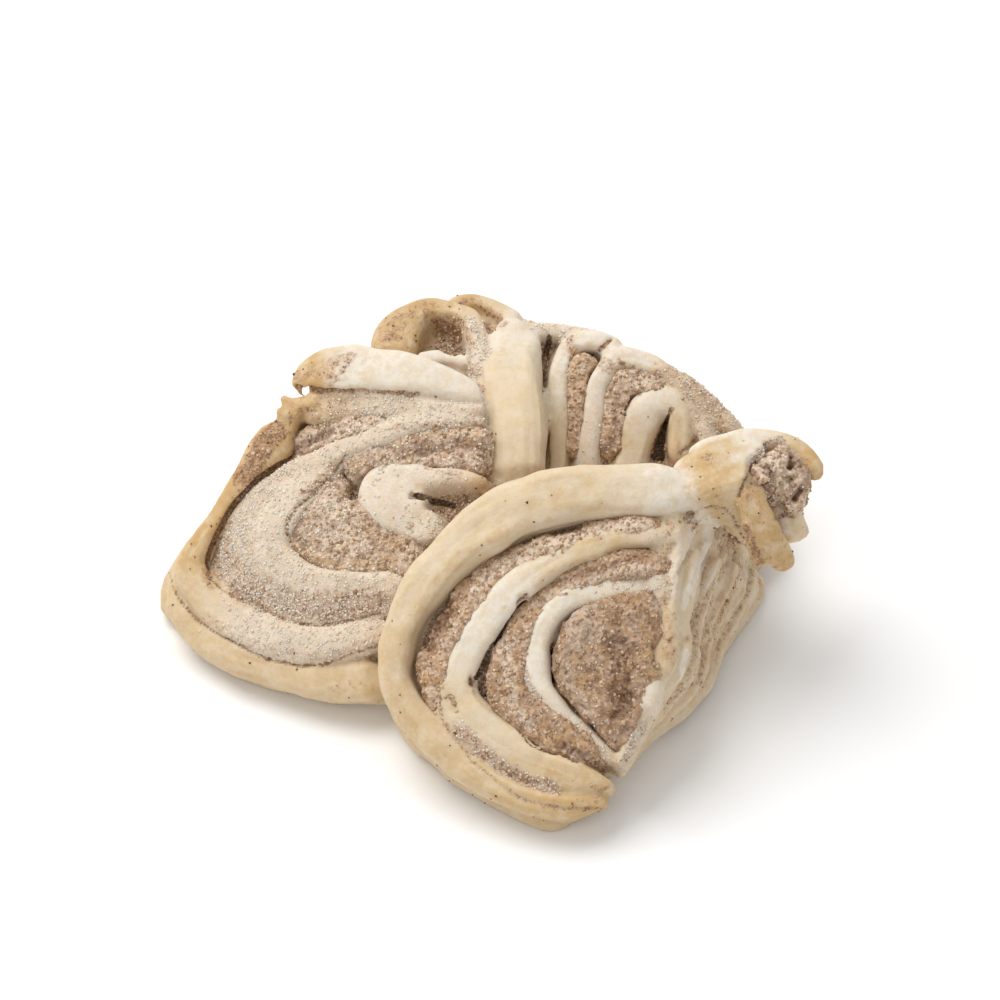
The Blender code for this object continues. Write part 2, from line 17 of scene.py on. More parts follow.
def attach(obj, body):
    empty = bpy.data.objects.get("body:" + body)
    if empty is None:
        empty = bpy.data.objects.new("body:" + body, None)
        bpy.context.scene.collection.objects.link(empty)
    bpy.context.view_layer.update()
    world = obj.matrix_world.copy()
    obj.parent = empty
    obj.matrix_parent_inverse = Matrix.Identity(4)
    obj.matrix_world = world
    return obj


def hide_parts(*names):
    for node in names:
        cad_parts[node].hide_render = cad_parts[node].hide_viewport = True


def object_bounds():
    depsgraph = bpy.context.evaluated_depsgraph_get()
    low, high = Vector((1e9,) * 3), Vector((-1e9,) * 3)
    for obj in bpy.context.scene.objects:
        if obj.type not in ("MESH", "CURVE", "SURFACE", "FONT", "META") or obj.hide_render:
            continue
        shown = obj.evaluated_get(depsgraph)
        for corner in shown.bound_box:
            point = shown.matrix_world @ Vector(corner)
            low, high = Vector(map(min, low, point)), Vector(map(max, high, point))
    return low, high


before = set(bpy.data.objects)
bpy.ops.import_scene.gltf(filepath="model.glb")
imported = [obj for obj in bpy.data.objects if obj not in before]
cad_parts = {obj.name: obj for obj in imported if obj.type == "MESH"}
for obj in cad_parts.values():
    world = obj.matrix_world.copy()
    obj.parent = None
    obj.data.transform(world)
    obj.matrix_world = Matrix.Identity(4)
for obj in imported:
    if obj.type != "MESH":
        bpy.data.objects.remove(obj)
cad_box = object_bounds()

MM = 0.001
VIEW_ELEVATION = math.radians(48.0)

# Middle of the bun on the ground plan, which the model is moved by
MIDDLE = np.array((-1.36, -25.52, 0.0))

# Directions towards the camera and up in its picture
TOWARDS_CAMERA = np.array((0.0, -math.cos(VIEW_ELEVATION), math.sin(VIEW_ELEVATION)))
PICTURE_UP = np.array((0.0, math.sin(VIEW_ELEVATION), math.cos(VIEW_ELEVATION)))

# The photograph's scale, and the camera: its distance in metres, how many times as far it can
# see, and the width of its sensor in millimetres
PIXELS_PER_MM = 6.65
IMAGE_PIXELS = 1000
CAMERA_DISTANCE = 6.0
CLIP_SHARE = 4.0
SENSOR = 36.0

# Fineness of the meshes and of the lines on them, in millimetres or counts
DOUGH_VOXEL = 0.42
FILLING_VOXEL = 0.34
CUTTER_VOXEL = 0.25
CURVE_STEPS = 24
PLACE_ROUNDS = 12
BAND_RINGS = 110
BAND_SIDES = 26
MOUND_SIDES = 160
MOUND_TOP_RINGS = 16
CREST_PLACES = 60
SLIT_RINGS = 30
SLIT_STEP = 0.6
DRAWN_STEP = 0.5

# Sections of the strips: how square they are, over which share of their rings the ends close in,
# how blunt the ends stay, and how far the straps' tops tilt upwards
SQUARENESS = 4.0
FILLING_SQUARENESS = 6.0
END_SHARE = 0.07
END_BLUNTNESS = 0.15
STRAP_TILT = 0.35

# In millimetres: the height where the bodies end under the ground, and where the fillings end over
# it, how much wider a filling is made than its gap, how deep a strip's skin may lie under the fused
# skin and still count as shown, how far a slit's form stands out, and from how far rays are cast
UNDERSIDE = -3.0
FILLING_FLOOR = 2.2
FILLING_OVERLAP = 1.3
HIDDEN_DEPTH = 0.4
SLIT_HEAD = 0.8
CAST_DISTANCE = 150.0

# Side of a mound below and above its widest outline, as pairs of a share of the height and how
# far it draws in there, as a share of its roundness
LOWER_SIDE = ((0.0, 0.75), (0.4, 0.3), (1.0, 0.0))
UPPER_SIDE = ((0.5, 0.08), (0.8, 0.3), (0.95, 0.65), (1.0, 1.1))

# Finishes of the dough: how sugared, golden, cinnamon-brown and floury it is, from 0 to 1
FINISHES = {
    "smooth": (0.0, 0.30, 0.00, 0.35),
    "floury": (0.0, 0.05, 0.00, 0.90),
    "skin": (0.10, 0.60, 0.00, 0.20),
    "golden": (0.0, 1.00, 0.10, 0.05),
    "ochre": (0.1, 1.00, 0.28, 0.00),
    "pale": (0.35, 0.10, 0.00, 0.70),
    "dusted": (0.7, 0.10, 0.04, 0.55),
    "sugared": (1.0, 0.14, 0.08, 0.25),
    "sandy": (0.8, 0.75, 0.28, 0.05),
    "porous": (0.6, 0.20, 0.42, 0.40),
    "groove": (0.7, 0.20, 1.00, 0.00),
    "layered": (0.10, 0.34, 0.12, 0.36),
}
CHANNELS = ("sugared", "golden", "brown", "floury")


class Face:
    """The gently domed surface that carries one lobe's spiral: a sloping plane less a shallow dome."""

    def __init__(self, height, slope_x, slope_y, dome, dome_x, dome_y):
        self.height = height
        self.slope_x = slope_x
        self.slope_y = slope_y
        self.dome = dome
        self.dome_x = dome_x
        self.dome_y = dome_y

    def level(self, x, y):
        """Height of the face over a place on the ground."""
        fall = (x - self.dome_x) ** 2 + (y - self.dome_y) ** 2
        return self.height + self.slope_x * x + self.slope_y * y - self.dome * fall

    def place(self, right, up, lift=0.0):
        """The point that is seen right and up millimetres from the middle, lift above the face."""
        y = 0.0
        for _ in range(PLACE_ROUNDS):
            level = self.level(right, y) + lift
            seen_up = level * math.cos(VIEW_ELEVATION) + y * math.sin(VIEW_ELEVATION)
            rise = self.slope_y - 2.0 * self.dome * (y - self.dome_y)
            y -= (seen_up - up) / (rise * math.cos(VIEW_ELEVATION) + math.sin(VIEW_ELEVATION))
        return np.array((right, y, self.level(right, y) + lift))

    def normal(self, point):
        """The face's upward normal at a point."""
        across = self.slope_x - 2.0 * self.dome * (point[0] - self.dome_x)
        along = self.slope_y - 2.0 * self.dome * (point[1] - self.dome_y)
        direction = np.array((-across, -along, 1.0))
        return direction / np.linalg.norm(direction)


# The lobes' faces: height over the origin, slopes to the right and to the back, dome and its middle.
# The last two fall to the back and hold the front and the left body down there.
LEFT = Face(36.5, 0.25, 0.42, 0.005, -20.0, -15.0)
FRONT = Face(49.3, 0.13, 0.60, 0.003, 15.0, -40.0)
BACK = Face(23.0, 0.0, 0.50, 0.004, 15.0, 5.0)
LEVEL = Face(28.0, 0.0, 0.0, 0.0, 0.0, 0.0)
BEHIND = Face(9.0, 0.0, -0.9, 0.0, 0.0, 0.0)
LEFT_REAR = Face(26.6, 0.0, -0.75, 0.0, 0.0, 0.0)

# The front lobe's fold ridge and the foot of its flank as seen, right and up
RIDGE = ((26.8, -1.0), (26.8, -9.0), (26.0, -16.0), (26.2, -23.0),
         (23.4, -28.6), (21.0, -34.0), (18.2, -40.0))
FOOT = ((40.4, -11.5), (37.6, -17.3), (33.6, -23.2), (31.4, -28.6),
        (27.6, -32.6), (22.4, -36.0), (17.2, -41.6))
RIDGE_LIFT = -1.3
FOOT_HEIGHT = -25.5

# The flank's leaves: how many, where the first lies in steps from the ridge, how far every other one
# stands out, how much wider they are than their share of the flank, by a factor and by a margin, and
# how deep they are behind, half way and in front, in millimetres
FLANK_LEAVES = 9
FIRST_LEAF = 0.7
LEAF_STEP = 0.8
LEAF_OVERLAP = 1.1
LEAF_MARGIN = 0.5
LEAF_DEPTHS = (7.0, 5.0, 1.6)


# Shapes

def unit(rows):
    """Rows of vectors brought to length 1."""
    return rows / np.linalg.norm(rows, axis=1)[:, None]


def run_along(points):
    """How far along a line of points each of them lies."""
    return np.concatenate(([0.0], np.cumsum(np.linalg.norm(np.diff(points, axis=0), axis=1))))


def smooth_curve(points, count, closed=False):
    """Evenly spaced points on a Catmull-Rom curve through rows of values; length is measured in 3-D."""
    rows = np.array(points, dtype=float)
    if closed:
        rows = np.vstack((rows[-1], rows, rows[:2]))
    else:
        rows = np.vstack((2 * rows[0] - rows[1], rows, 2 * rows[-1] - rows[-2]))
    steps = np.linspace(0.0, 1.0, CURVE_STEPS, endpoint=False)[:, None]
    pieces = []
    for a, b, c, d in zip(rows, rows[1:], rows[2:], rows[3:]):
        pieces.append(0.5 * (2 * b + (c - a) * steps + (2 * a - 5 * b + 4 * c - d) * steps ** 2
                             + (3 * b - a - 3 * c + d) * steps ** 3))
    pieces.append(rows[-2][None, :])
    fine = np.vstack(pieces)
    run = run_along(fine[:, :3])
    wanted = np.linspace(0.0, run[-1], count, endpoint=not closed)
    return np.column_stack([np.interp(wanted, run, fine[:, column]) for column in range(fine.shape[1])])


class Shape:
    """Closed surfaces gathered as plain vertices and faces, with the finish and the grain of each vertex.

    The grain is how far along and across its strip a vertex lies, in millimetres.
    """

    def __init__(self):
        self.vertices = []
        self.faces = []
        self.finish = []
        self.grain = []

    def tube(self, rings, finishes, grains):
        """A closed skin over equal rings of points, with a fan on each end."""
        start = len(self.vertices)
        sides = len(rings[0])
        for ring, finish, grain in zip(rings, finishes, grains):
            self.vertices.extend(tuple(point) for point in ring)
            self.finish.extend([finish] * sides)
            self.grain.extend(grain)

        def neighbours(row):
            """Each vertex of a ring and the next one round it."""
            first = start + row * sides
            return [(first + side, first + (side + 1) % sides) for side in range(sides)]

        for row in range(len(rings) - 1):
            self.faces.extend((a, b, b + sides, a + sides) for a, b in neighbours(row))
        last = len(rings) - 1
        for row in (0, last):
            hub = len(self.vertices)
            self.vertices.append(tuple(np.mean(rings[row], axis=0)))
            self.finish.append(finishes[row])
            self.grain.append(grains[row][0])
            self.faces.extend((a, b, hub) if row == last else (b, a, hub) for a, b in neighbours(row))

    def add(self, other):
        """Takes in another shape's surfaces."""
        start = len(self.vertices)
        self.vertices.extend(other.vertices)
        self.faces.extend(tuple(index + start for index in face) for face in other.faces)
        self.finish.extend(other.finish)
        self.grain.extend(other.grain)


def blended(names, count):
    """The finish of each ring of a strip, from the first named finish to the last."""
    stops = np.array([FINISHES[name] for name in names.split()])
    where = np.linspace(0.0, len(stops) - 1, count)
    return np.column_stack([np.interp(where, range(len(stops)), column) for column in stops.T])


def squared(value, squareness):
    """A sine or cosine that stays near 1 or -1 for longer, which makes a round section an oblong."""
    return math.copysign(abs(value) ** (2 / squareness), value)


def sweep(line, normals, depth, finish="smooth", lean=0.0, squareness=SQUARENESS, upright=False):
    """A closed strip along a line of rows (x, y, z, width), whose top faces along the normals.

    depth is how far it reaches below its top, one value or one for each row. Its section is a
    rounded oblong, and its ends close in over a share of its rings. lean is how far its top slopes
    down to the side that is on the right of the way along it. An upright one keeps exactly to the
    normals, however the line climbs.
    """
    count = len(line)
    depths = np.broadcast_to(depth, count)
    turns = np.linspace(0.0, 2 * math.pi, BAND_SIDES, endpoint=False)
    end_rings = END_SHARE * count
    run = run_along(line[:, :3])
    rings = []
    grains = []
    for index, row in enumerate(line):
        point = row[:3]
        before = line[max(index - 1, 0), :3]
        after = line[min(index + 1, count - 1), :3]
        ahead = (after - before) / np.linalg.norm(after - before)
        level_side = np.cross(ahead, normals[index])
        level_side /= np.linalg.norm(level_side)
        level_top = normals[index] if upright else np.cross(level_side, ahead)
        side = level_side * math.cos(lean) - level_top * math.sin(lean)
        top = level_top * math.cos(lean) + level_side * math.sin(lean)
        end = min(index, count - 1 - index)
        closed = (end + END_BLUNTNESS * end_rings) / ((1 + END_BLUNTNESS) * end_rings)
        closing = math.sqrt(min(1.0, closed))
        half_width = row[3] / 2 * closing
        half_depth = depths[index] / 2 * (0.5 + 0.5 * closing)
        middle = point - top * depths[index] / 2
        ring = []
        grain = []
        for turn in turns:
            across = squared(math.cos(turn), squareness)
            rise = squared(math.sin(turn), squareness)
            ring.append(middle + side * across * half_width + top * rise * half_depth)
            down = (1 - rise) * half_depth * math.copysign(1, across)
            grain.append((run[index], across * half_width + down))
        rings.append(ring)
        grains.append(grain)
    shape = Shape()
    shape.tube(rings, blended(finish, count), grains)
    return shape


def band(face, points, depth, finish="smooth", floor=None, lean=0.0, squareness=SQUARENESS):
    """A strip of dough or filling along a lobe's face.

    points are rows of (right, up, width, lift): the middle of the strip's top as seen, its width,
    and its lift above the face. Where a floor is given, the strip stays above that height.
    """
    rows = [(*face.place(right, up, lift), width) for right, up, width, lift in points]
    line = smooth_curve(rows, BAND_RINGS)
    normals = [face.normal(row) for row in line]
    if floor is not None:
        depth = [min(depth, (row[2] - floor) / normal[2]) for row, normal in zip(line, normals)]
    return sweep(line, normals, depth, finish, lean, squareness)


def strap(points, depth, finish="skin"):
    """A strip of skin round the side of the bun, through rows of (x, y, z, width)."""
    line = smooth_curve(points, BAND_RINGS)
    ahead = np.gradient(line[:, :2], axis=0)
    normals = np.column_stack((-ahead[:, 1], ahead[:, 0], np.full(len(line), STRAP_TILT)))
    return sweep(line, normals, depth, finish)


def mound(tops, outline, roundness=3.0, belly=4.5):
    """A body of dough from the ground up to the lowest of some faces.

    tops are pairs of a face and how far the body stays under it, outline is the widest outline on
    the ground plan, roundness is how far the edges draw in, and belly is the height where the
    side is widest.
    """
    def level(x, y):
        return min(face.level(x, y) - drop for face, drop in tops)

    ring = smooth_curve([(x, y, 0.0) for x, y in outline], MOUND_SIDES, closed=True)[:, :2]
    middle = ring.mean(axis=0)
    out = unit(ring - middle)
    widest = np.minimum(belly, 0.5 * np.array([level(x, y) for x, y in ring]))
    rings = [np.column_stack((ring - out * roundness, np.full(len(ring), UNDERSIDE)))]
    for part, draw in LOWER_SIDE:
        rings.append(np.column_stack((ring - out * roundness * draw, widest * part)))
    for part, draw in UPPER_SIDE:
        plan = ring - out * roundness * draw
        heights = np.array([level(x, y) for x, y in plan])
        rings.append(np.column_stack((plan, widest + (heights - widest) * part)))
    side_rings = len(rings)
    for shrink in np.linspace(0.9, 0.05, MOUND_TOP_RINGS):
        plan = middle + (ring - middle) * shrink
        rings.append(np.column_stack((plan, [level(x, y) for x, y in plan])))
    turns = np.linspace(0.0, 2 * math.pi, len(ring), endpoint=False)
    around = turns * np.linalg.norm(ring - middle, axis=1)
    grains = [[(distance, one[0][2]) for distance in around] for one in rings]
    finishes = [FINISHES["skin"]] * side_rings + [FINISHES["groove"]] * (len(rings) - side_rings)
    shape = Shape()
    shape.tube(rings, finishes, grains)
    return shape


# Lobes

def left_lobe():
    """The left spiral: an outer band, an inner mound of two turns and a knob, open to the right."""
    return [
        mound([(LEFT, 4.4), (LEFT_REAR, 0.0)], [(-51.3, -23.0), (-47.4, -28.8), (-41.2, -34.8),
            (-32.6, -39.8), (-20, -43.6), (-5, -43), (4, -30), (6, -5), (-8, 10), (-23, 5), (-31, 0),
            (-37.5, -6.5), (-42.5, -12), (-48.5, -17.5)]),
        # Lip that ends in a cut tip at the back left
        band(LEFT, [(-2.4, 15.4, 2.2, 1.0), (-4.8, 16.8, 3.6, 1.5), (-8.0, 18.2, 5.0, 2.1),
            (-11.9, 19.4, 6.0, 2.6), (-15.8, 20.0, 7.0, 3.0), (-23.6, 20.5, 8.0, 3.0),
            (-27.8, 19.9, 6.6, 2.7), (-31.8, 17.9, 3.2, 2.2)], 6.0,
            "floury floury floury floury floury floury golden golden"),
        # Torn edge at the tip, under the lip
        band(LEFT, [(-27.6, 15.6, 1.8, 1.4), (-29.8, 14.8, 2.4, 1.2), (-32.2, 15.0, 1.4, 1.4),
            (-32.8, 15.8, 0.8, 1.6)], 3.0, "ochre"),
        band(LEFT, [(-30.2, 13.8, 2.4, 1.0), (-32.2, 13.4, 1.8, 1.2), (-33.8, 13.4, 0.8, 1.3)], 3.0,
            "ochre"),
        # Pale strip under the lip
        band(LEFT, [(-2.5, 14.2, 3.4, 0.7), (-10, 14.8, 3.8, 0.7), (-18, 14.6, 4.2, 0.7),
            (-24, 14.4, 4.2, 0.5), (-30, 13.8, 4.2, 0.3)], 6.0, "dusted dusted sugared sandy ochre"),
        # Outer band down the left side and round the bottom
        band(LEFT, [(-31, 13.4, 4.4, 0.9), (-35.2, 8.6, 6.2, 1.2), (-38.8, 3.6, 4.2, 1.3),
            (-42.4, -1.6, 3.0, 1.3), (-45.1, -6.0, 3.4, 1.2), (-46.8, -10.2, 5.2, 0.9),
            (-43.9, -14.8, 6.0, 0.6), (-40.6, -17.6, 6.2, 0.5), (-36.0, -20.0, 6.6, 0.6),
            (-30.1, -21.4, 6.4, 0.7), (-22.6, -20.7, 5.4, 0.8), (-15.0, -19.4, 4.8, 0.8)], 8.0,
            "golden golden golden golden skin dusted dusted dusted sugared"),
        # Smooth skin below it
        band(LEFT, [(-47.6, -8.6, 1.6, -1.0), (-48.9, -12.8, 2.8, -0.6), (-48.7, -16.2, 3.6, -0.6),
            (-45.6, -20.2, 4.2, -0.7), (-39.0, -23.9, 4.4, -0.7), (-29, -26.8, 5.4, -0.6),
            (-17, -26.9, 7.6, -0.6)], 8.0, "skin"),
        # First turn of the inner mound, which slopes down to the groove
        band(LEFT, [(-2.2, 12.4, 2.8, 0.5), (-10.5, 12.4, 3.6, 0.7), (-17.3, 10.6, 4.0, 0.9),
            (-23.3, 8.4, 4.2, 1.0), (-30.0, 5.0, 5.0, 0.9), (-35.6, 0.4, 6.0, 0.6),
            (-38.8, -4.8, 7.0, 0.2), (-39.4, -9.6, 7.0, -0.3), (-36.6, -13.8, 6.4, -0.4),
            (-30.8, -15.9, 5.6, -0.1), (-24.0, -16.4, 4.8, 0.2), (-15.0, -15.6, 4.4, 0.3)], 7.0,
            "dusted dusted dusted sugared sugared sugared sugared sugared", lean=0.16),
        # Second turn, a pale loop round the grainy middle
        band(LEFT, [(-24.2, 5.9, 3.0, 0.9), (-27.0, 4.0, 4.6, 1.1), (-31.4, 0.4, 5.8, 1.3),
            (-34.6, -4.4, 6.2, 1.3), (-33.8, -9.0, 6.0, 1.0), (-28.4, -12.3, 5.4, 0.9),
            (-21.6, -13.0, 4.8, 0.9), (-14.0, -12.6, 4.4, 0.9)], 7.0, "dusted"),
        # Innermost turn, a low smooth knob that opens to the right, and its tail
        band(LEFT, [(-1.8, 3.5, 2.4, 0.6), (-5.7, 3.4, 2.6, 0.6), (-9.6, 3.3, 3.2, 0.5),
            (-12.8, 3.6, 4.6, 0.4), (-17.4, 3.0, 6.8, 0.3), (-18.4, 0.6, 6.2, 0.2),
            (-16.2, -2.0, 6.4, 0.1), (-12.2, -3.6, 6.0, 0.0), (-8.6, -4.8, 4.8, -0.1)], 7.0,
            "skin dusted pale pale pale dusted dusted"),
        band(LEFT, [(-18.8, 3.2, 7.6, 0.4), (-15.6, 0.0, 9.4, 0.4), (-12.6, -2.6, 6.4, 0.2)], 6.0,
            "pale"),
    ]


def front_lobe():
    """The front spiral, which lies on the others: a broad rim and two inner turns."""
    parts = [
        # Body: under the spiral in front, and falling into the crease behind the rim
        mound([(FRONT, 5.6), (BEHIND, 3.5)], [(-16.5, -43), (-16, -48.5), (-12, -53.5), (-5, -60),
            (2, -64.6), (8.0, -67.0), (12.6, -63.8), (16.0, -58.8), (21.0, -53), (25.0, -47.5),
            (27.5, -41), (29, -34), (34, -26), (37.5, -17), (34, -9), (22, -8), (8, -13), (-4, -24),
            (-12, -34)]),
        # Broad rim
        band(FRONT, [(30.0, 0.9, 5.6, -0.3), (25.6, 1.5, 8.0, 0.0), (18, 2.0, 7.8, 0.4),
            (9, 1.3, 8.8, 0.6), (1.5, -1.1, 9.2, 0.6), (-5.3, -5.2, 8.6, 0.6), (-11.0, -10.8, 6.9, 0.4),
            (-14.8, -17.0, 5.4, 0.4), (-16.3, -22.8, 4.7, 0.4), (-15.8, -28.4, 4.9, 0.4),
            (-10.4, -34.7, 5.6, 0.2), (-4.0, -40.6, 4.8, 0.0), (3.0, -44.2, 4.2, 0.0),
            (9.0, -45.7, 3.8, 0.0), (15.4, -44.8, 3.0, 0.0)], 8.0,
            "floury smooth smooth smooth skin skin skin golden"),
        # First inner turn
        band(FRONT, [(27.0, -5.3, 3.2, -0.9), (21.0, -5.5, 3.6, -0.7), (16.5, -6.2, 4.0, -0.8),
            (11.3, -7.8, 4.6, -0.8), (6.8, -10.1, 5.0, -0.8), (2.3, -13.0, 5.6, -0.8),
            (-1.6, -16.4, 5.8, -0.8), (-4.2, -20.3, 5.6, -0.7), (-6.3, -24.8, 5.8, -0.6),
            (-6.8, -29.4, 6.4, -0.5), (-3.9, -33.5, 6.6, -0.5), (0.8, -36.8, 6.6, -0.7),
            (6.2, -39.8, 6.4, -0.6), (11.4, -41.6, 5.8, -0.4), (15.8, -42.6, 4.2, 0.0)], 9.0,
            "dusted skin smooth floury floury smooth smooth skin skin"),
        # Second inner turn
        band(FRONT, [(26.6, -12.3, 4.2, -1.8), (18.4, -12.7, 4.2, -1.6), (13.4, -13.6, 4.0, -1.8),
            (9.4, -15.6, 4.0, -1.8), (6.6, -18.8, 4.2, -1.7), (5.2, -23.2, 4.4, -1.5),
            (5.4, -27.8, 4.5, -1.5), (8.2, -31.6, 4.5, -1.7), (12.2, -34.9, 3.9, -1.8),
            (15.4, -37.6, 2.8, -1.8), (17.6, -39.6, 2.0, -1.4)], 9.0,
            "dusted dusted floury floury floury dusted sandy"),
        # Pale flap at the right of the middle
        band(FRONT, [(22.8, -24.6, 2.4, -1.0), (22.6, -28.2, 3.6, -0.5), (21.8, -31.8, 2.8, -0.6)], 6.0,
            "golden floury dusted"),
    ]
    return parts + flank()


def flank():
    """Thin layers on the right of the front lobe, which fan from the fold ridge to the ground."""
    ridge = smooth_curve([FRONT.place(right, up, RIDGE_LIFT) for right, up in RIDGE], BAND_RINGS)
    foot = smooth_curve([LEVEL.place(right, up, FOOT_HEIGHT) for right, up in FOOT], BAND_RINGS)
    reach = foot - ridge
    depths = np.interp(np.linspace(0.0, 1.0, BAND_RINGS), (0.0, 0.5, 1.0), LEAF_DEPTHS)
    leaves = []
    for leaf in range(FLANK_LEAVES):
        share = (leaf + FIRST_LEAF) / (FLANK_LEAVES - 1 + FIRST_LEAF)
        line = ridge + reach * share
        width = np.linalg.norm(reach, axis=1) * LEAF_OVERLAP / FLANK_LEAVES + LEAF_MARGIN
        normals = np.cross(np.gradient(line, axis=0), reach)
        normals = unit(normals * np.sign(normals[:, :1]))
        line = line + normals * LEAF_STEP * (leaf % 2)
        leaves.append(sweep(np.column_stack((line, width)), normals, depths, "layered"))
    return leaves


def back_lobe():
    """The lobe behind: a smooth band over the middle and three arched strips round a hole."""
    return [
        mound([(BACK, 3.4)], [(-14, 6), (-13, 13.5), (-5, 17.0), (6, 15.5), (17, 10.5), (28, 4), (37, -4),
            (41, -11), (38, -17), (22, -24), (-4, -26), (-14, -10)]),
        # Smooth band over the middle and down the back
        band(BACK, [(2.2, 3.0, 8.6, 13.0), (2.2, 12.0, 8.6, 11.6), (1.8, 19.5, 8.8, 7.6),
            (2.4, 25.0, 8.0, 2.8), (4.6, 27.8, 6.0, -1.2)], 10.0, "smooth smooth floury"),
        # White sugared rim behind the arches
        band(BACK, [(3.0, 25.8, 3.0, 0.8), (6.8, 25.8, 3.0, 0.4), (11.3, 25.1, 3.0, 0.2),
            (15.0, 23.7, 3.0, 0.2), (18.2, 22.0, 2.8, 0.6)], 8.0, "dusted dusted floury"),
        # Arched rim strips
        band(BACK, [(8.6, 2.0, 3.4, -0.6), (8.7, 8.0, 3.4, 0.2), (8.9, 15, 3.4, 1.3),
            (9.2, 20.6, 3.4, 1.4), (10.6, 23.6, 3.4, 1.2), (13.6, 24.0, 3.2, 1.1), (16.8, 23.0, 3.0, 1.0),
            (19.0, 21.8, 2.6, 0.9)], 8.0, "smooth smooth floury floury floury"),
        band(BACK, [(13.2, 2.0, 3.8, -0.6), (13.4, 8.0, 3.6, 0.2), (14.1, 14, 3.6, 1.1),
            (15.2, 18.6, 3.6, 1.5), (17.8, 21.2, 3.8, 1.7), (22.0, 20.7, 3.8, 1.8),
            (26.2, 18.4, 3.6, 2.0), (30.4, 15.4, 3.4, 2.2), (34.0, 12.2, 3.4, 2.4),
            (36.6, 9.8, 3.2, 2.4)], 9.0, "pale pale pale floury floury floury sandy sandy sandy dusted"),
        # Lilac-white sugar to the right of the loop
        band(BACK, [(26.4, 16.4, 2.0, 1.6), (29.4, 14.0, 2.6, 1.7), (31.0, 10.6, 3.2, 1.6),
            (31.8, 6.6, 3.4, 1.2)], 8.0, "dusted porous dusted"),
        # Inner loop round the hole
        band(BACK, [(18.8, 2.0, 4.4, -1.0), (19.9, 6.8, 4.8, 0.0), (20.9, 11.3, 6.0, 1.2),
            (22.4, 14.4, 5.2, 1.7), (25.2, 14.9, 4.4, 1.9), (26.9, 12.4, 3.6, 1.8), (27.3, 9.2, 3.4, 1.4),
            (27.5, 5.0, 3.4, 0.6)], 8.0, "pale smooth floury smooth smooth"),
    ]


def back_folds():
    """Skin wrapped round the back of the bun in low layers, crossed by the middle band's end."""
    tail = smooth_curve([(2.6, 11.5, 25.0, 7.0), (2.6, 15.4, 19.0, 7.6), (2.2, 17.4, 11.0, 8.0),
        (1.6, 17.6, 3.0, 7.0)], BAND_RINGS)
    return [
        sweep(tail, [(0.0, 1.0, 0.3)] * BAND_RINGS, 5.0, "floury skin"),
        strap([(-42, -9, 5.5, 8.0), (-33, -1, 6.5, 9.0), (-22, 8, 7.0, 10.0), (-11, 15.5, 6.5, 10.0),
            (2, 17.2, 6.0, 9.0), (16, 12.0, 6.0, 9.0), (29, 4.0, 5.5, 8.5), (39, -7, 5.0, 8.0)], 6.0),
        strap([(-34, -4, 17.0, 6.0), (-24, 4.5, 18.0, 8.0), (-14, 12.5, 17.5, 8.0),
            (-6, 16.0, 17.0, 7.0)], 6.0),
        strap([(8, 14.0, 15.0, 7.0), (19, 9.0, 14.5, 7.0), (30, 1.0, 14.0, 7.0), (38, -8, 12.5, 6.0)],
            6.0),
    ]


def right_curl():
    """The curl at the right: a knob, a hooked band that overhangs, and a tongue that hangs from it."""
    return [
        # Knob that closes the front rim
        band(LEVEL, [(26.0, 2.6, 7.4, 6.0), (29.6, 4.4, 10.0, 7.2), (33.6, 5.8, 11.2, 7.8),
            (37.6, 5.6, 10.4, 7.4)], 11.0, "floury golden skin skin"),
        # Shoulder between the knob and the hook
        band(LEVEL, [(34.6, 7.2, 4.6, 7.3), (37.4, 7.7, 4.4, 7.3), (39.6, 7.9, 3.2, 6.9)], 6.0, "floury"),
        # Body of the roll's end
        band(LEVEL, [(32, 2.6, 9.0, 4.4), (37, 3.8, 12.0, 5.0), (41.4, 3.2, 11.0, 4.0),
            (43.4, 0.6, 7.4, 1.6)], 12.0, "layered groove groove"),
        # Hooked outer band
        band(LEVEL, [(28.4, 6.0, 5.0, 6.4), (32.2, 8.2, 5.0, 6.8), (36.4, 9.6, 4.0, 7.0),
            (40.6, 10.0, 3.0, 7.0), (44.4, 8.6, 2.6, 6.4), (47.0, 5.6, 3.0, 5.2), (47.6, 2.9, 3.0, 3.2)],
            8.0, "floury floury floury floury skin golden golden"),
        # Lower lobe under the hook
        band(LEVEL, [(42.4, 2.0, 6.2, 1.8), (42.6, -1.6, 5.4, -0.6), (42.6, -4.4, 4.4, -2.8),
            (42.2, -6.6, 3.2, -4.6)], 9.0, "porous porous skin skin"),
        # Tongue
        band(LEVEL, [(37.8, 1.2, 4.4, 6.4), (38.8, -3.0, 5.2, 3.0), (40.0, -6.6, 6.2, -0.2),
            (40.8, -9.8, 5.0, -3.6)], 2.4, "ochre"),
        band(LEVEL, [(39.0, 0.0, 2.6, 5.6), (41.0, -4.8, 3.2, 1.4), (42.0, -8.6, 4.0, -2.4),
            (42.2, -11.0, 3.6, -4.8)], 2.4, "ochre"),
    ]


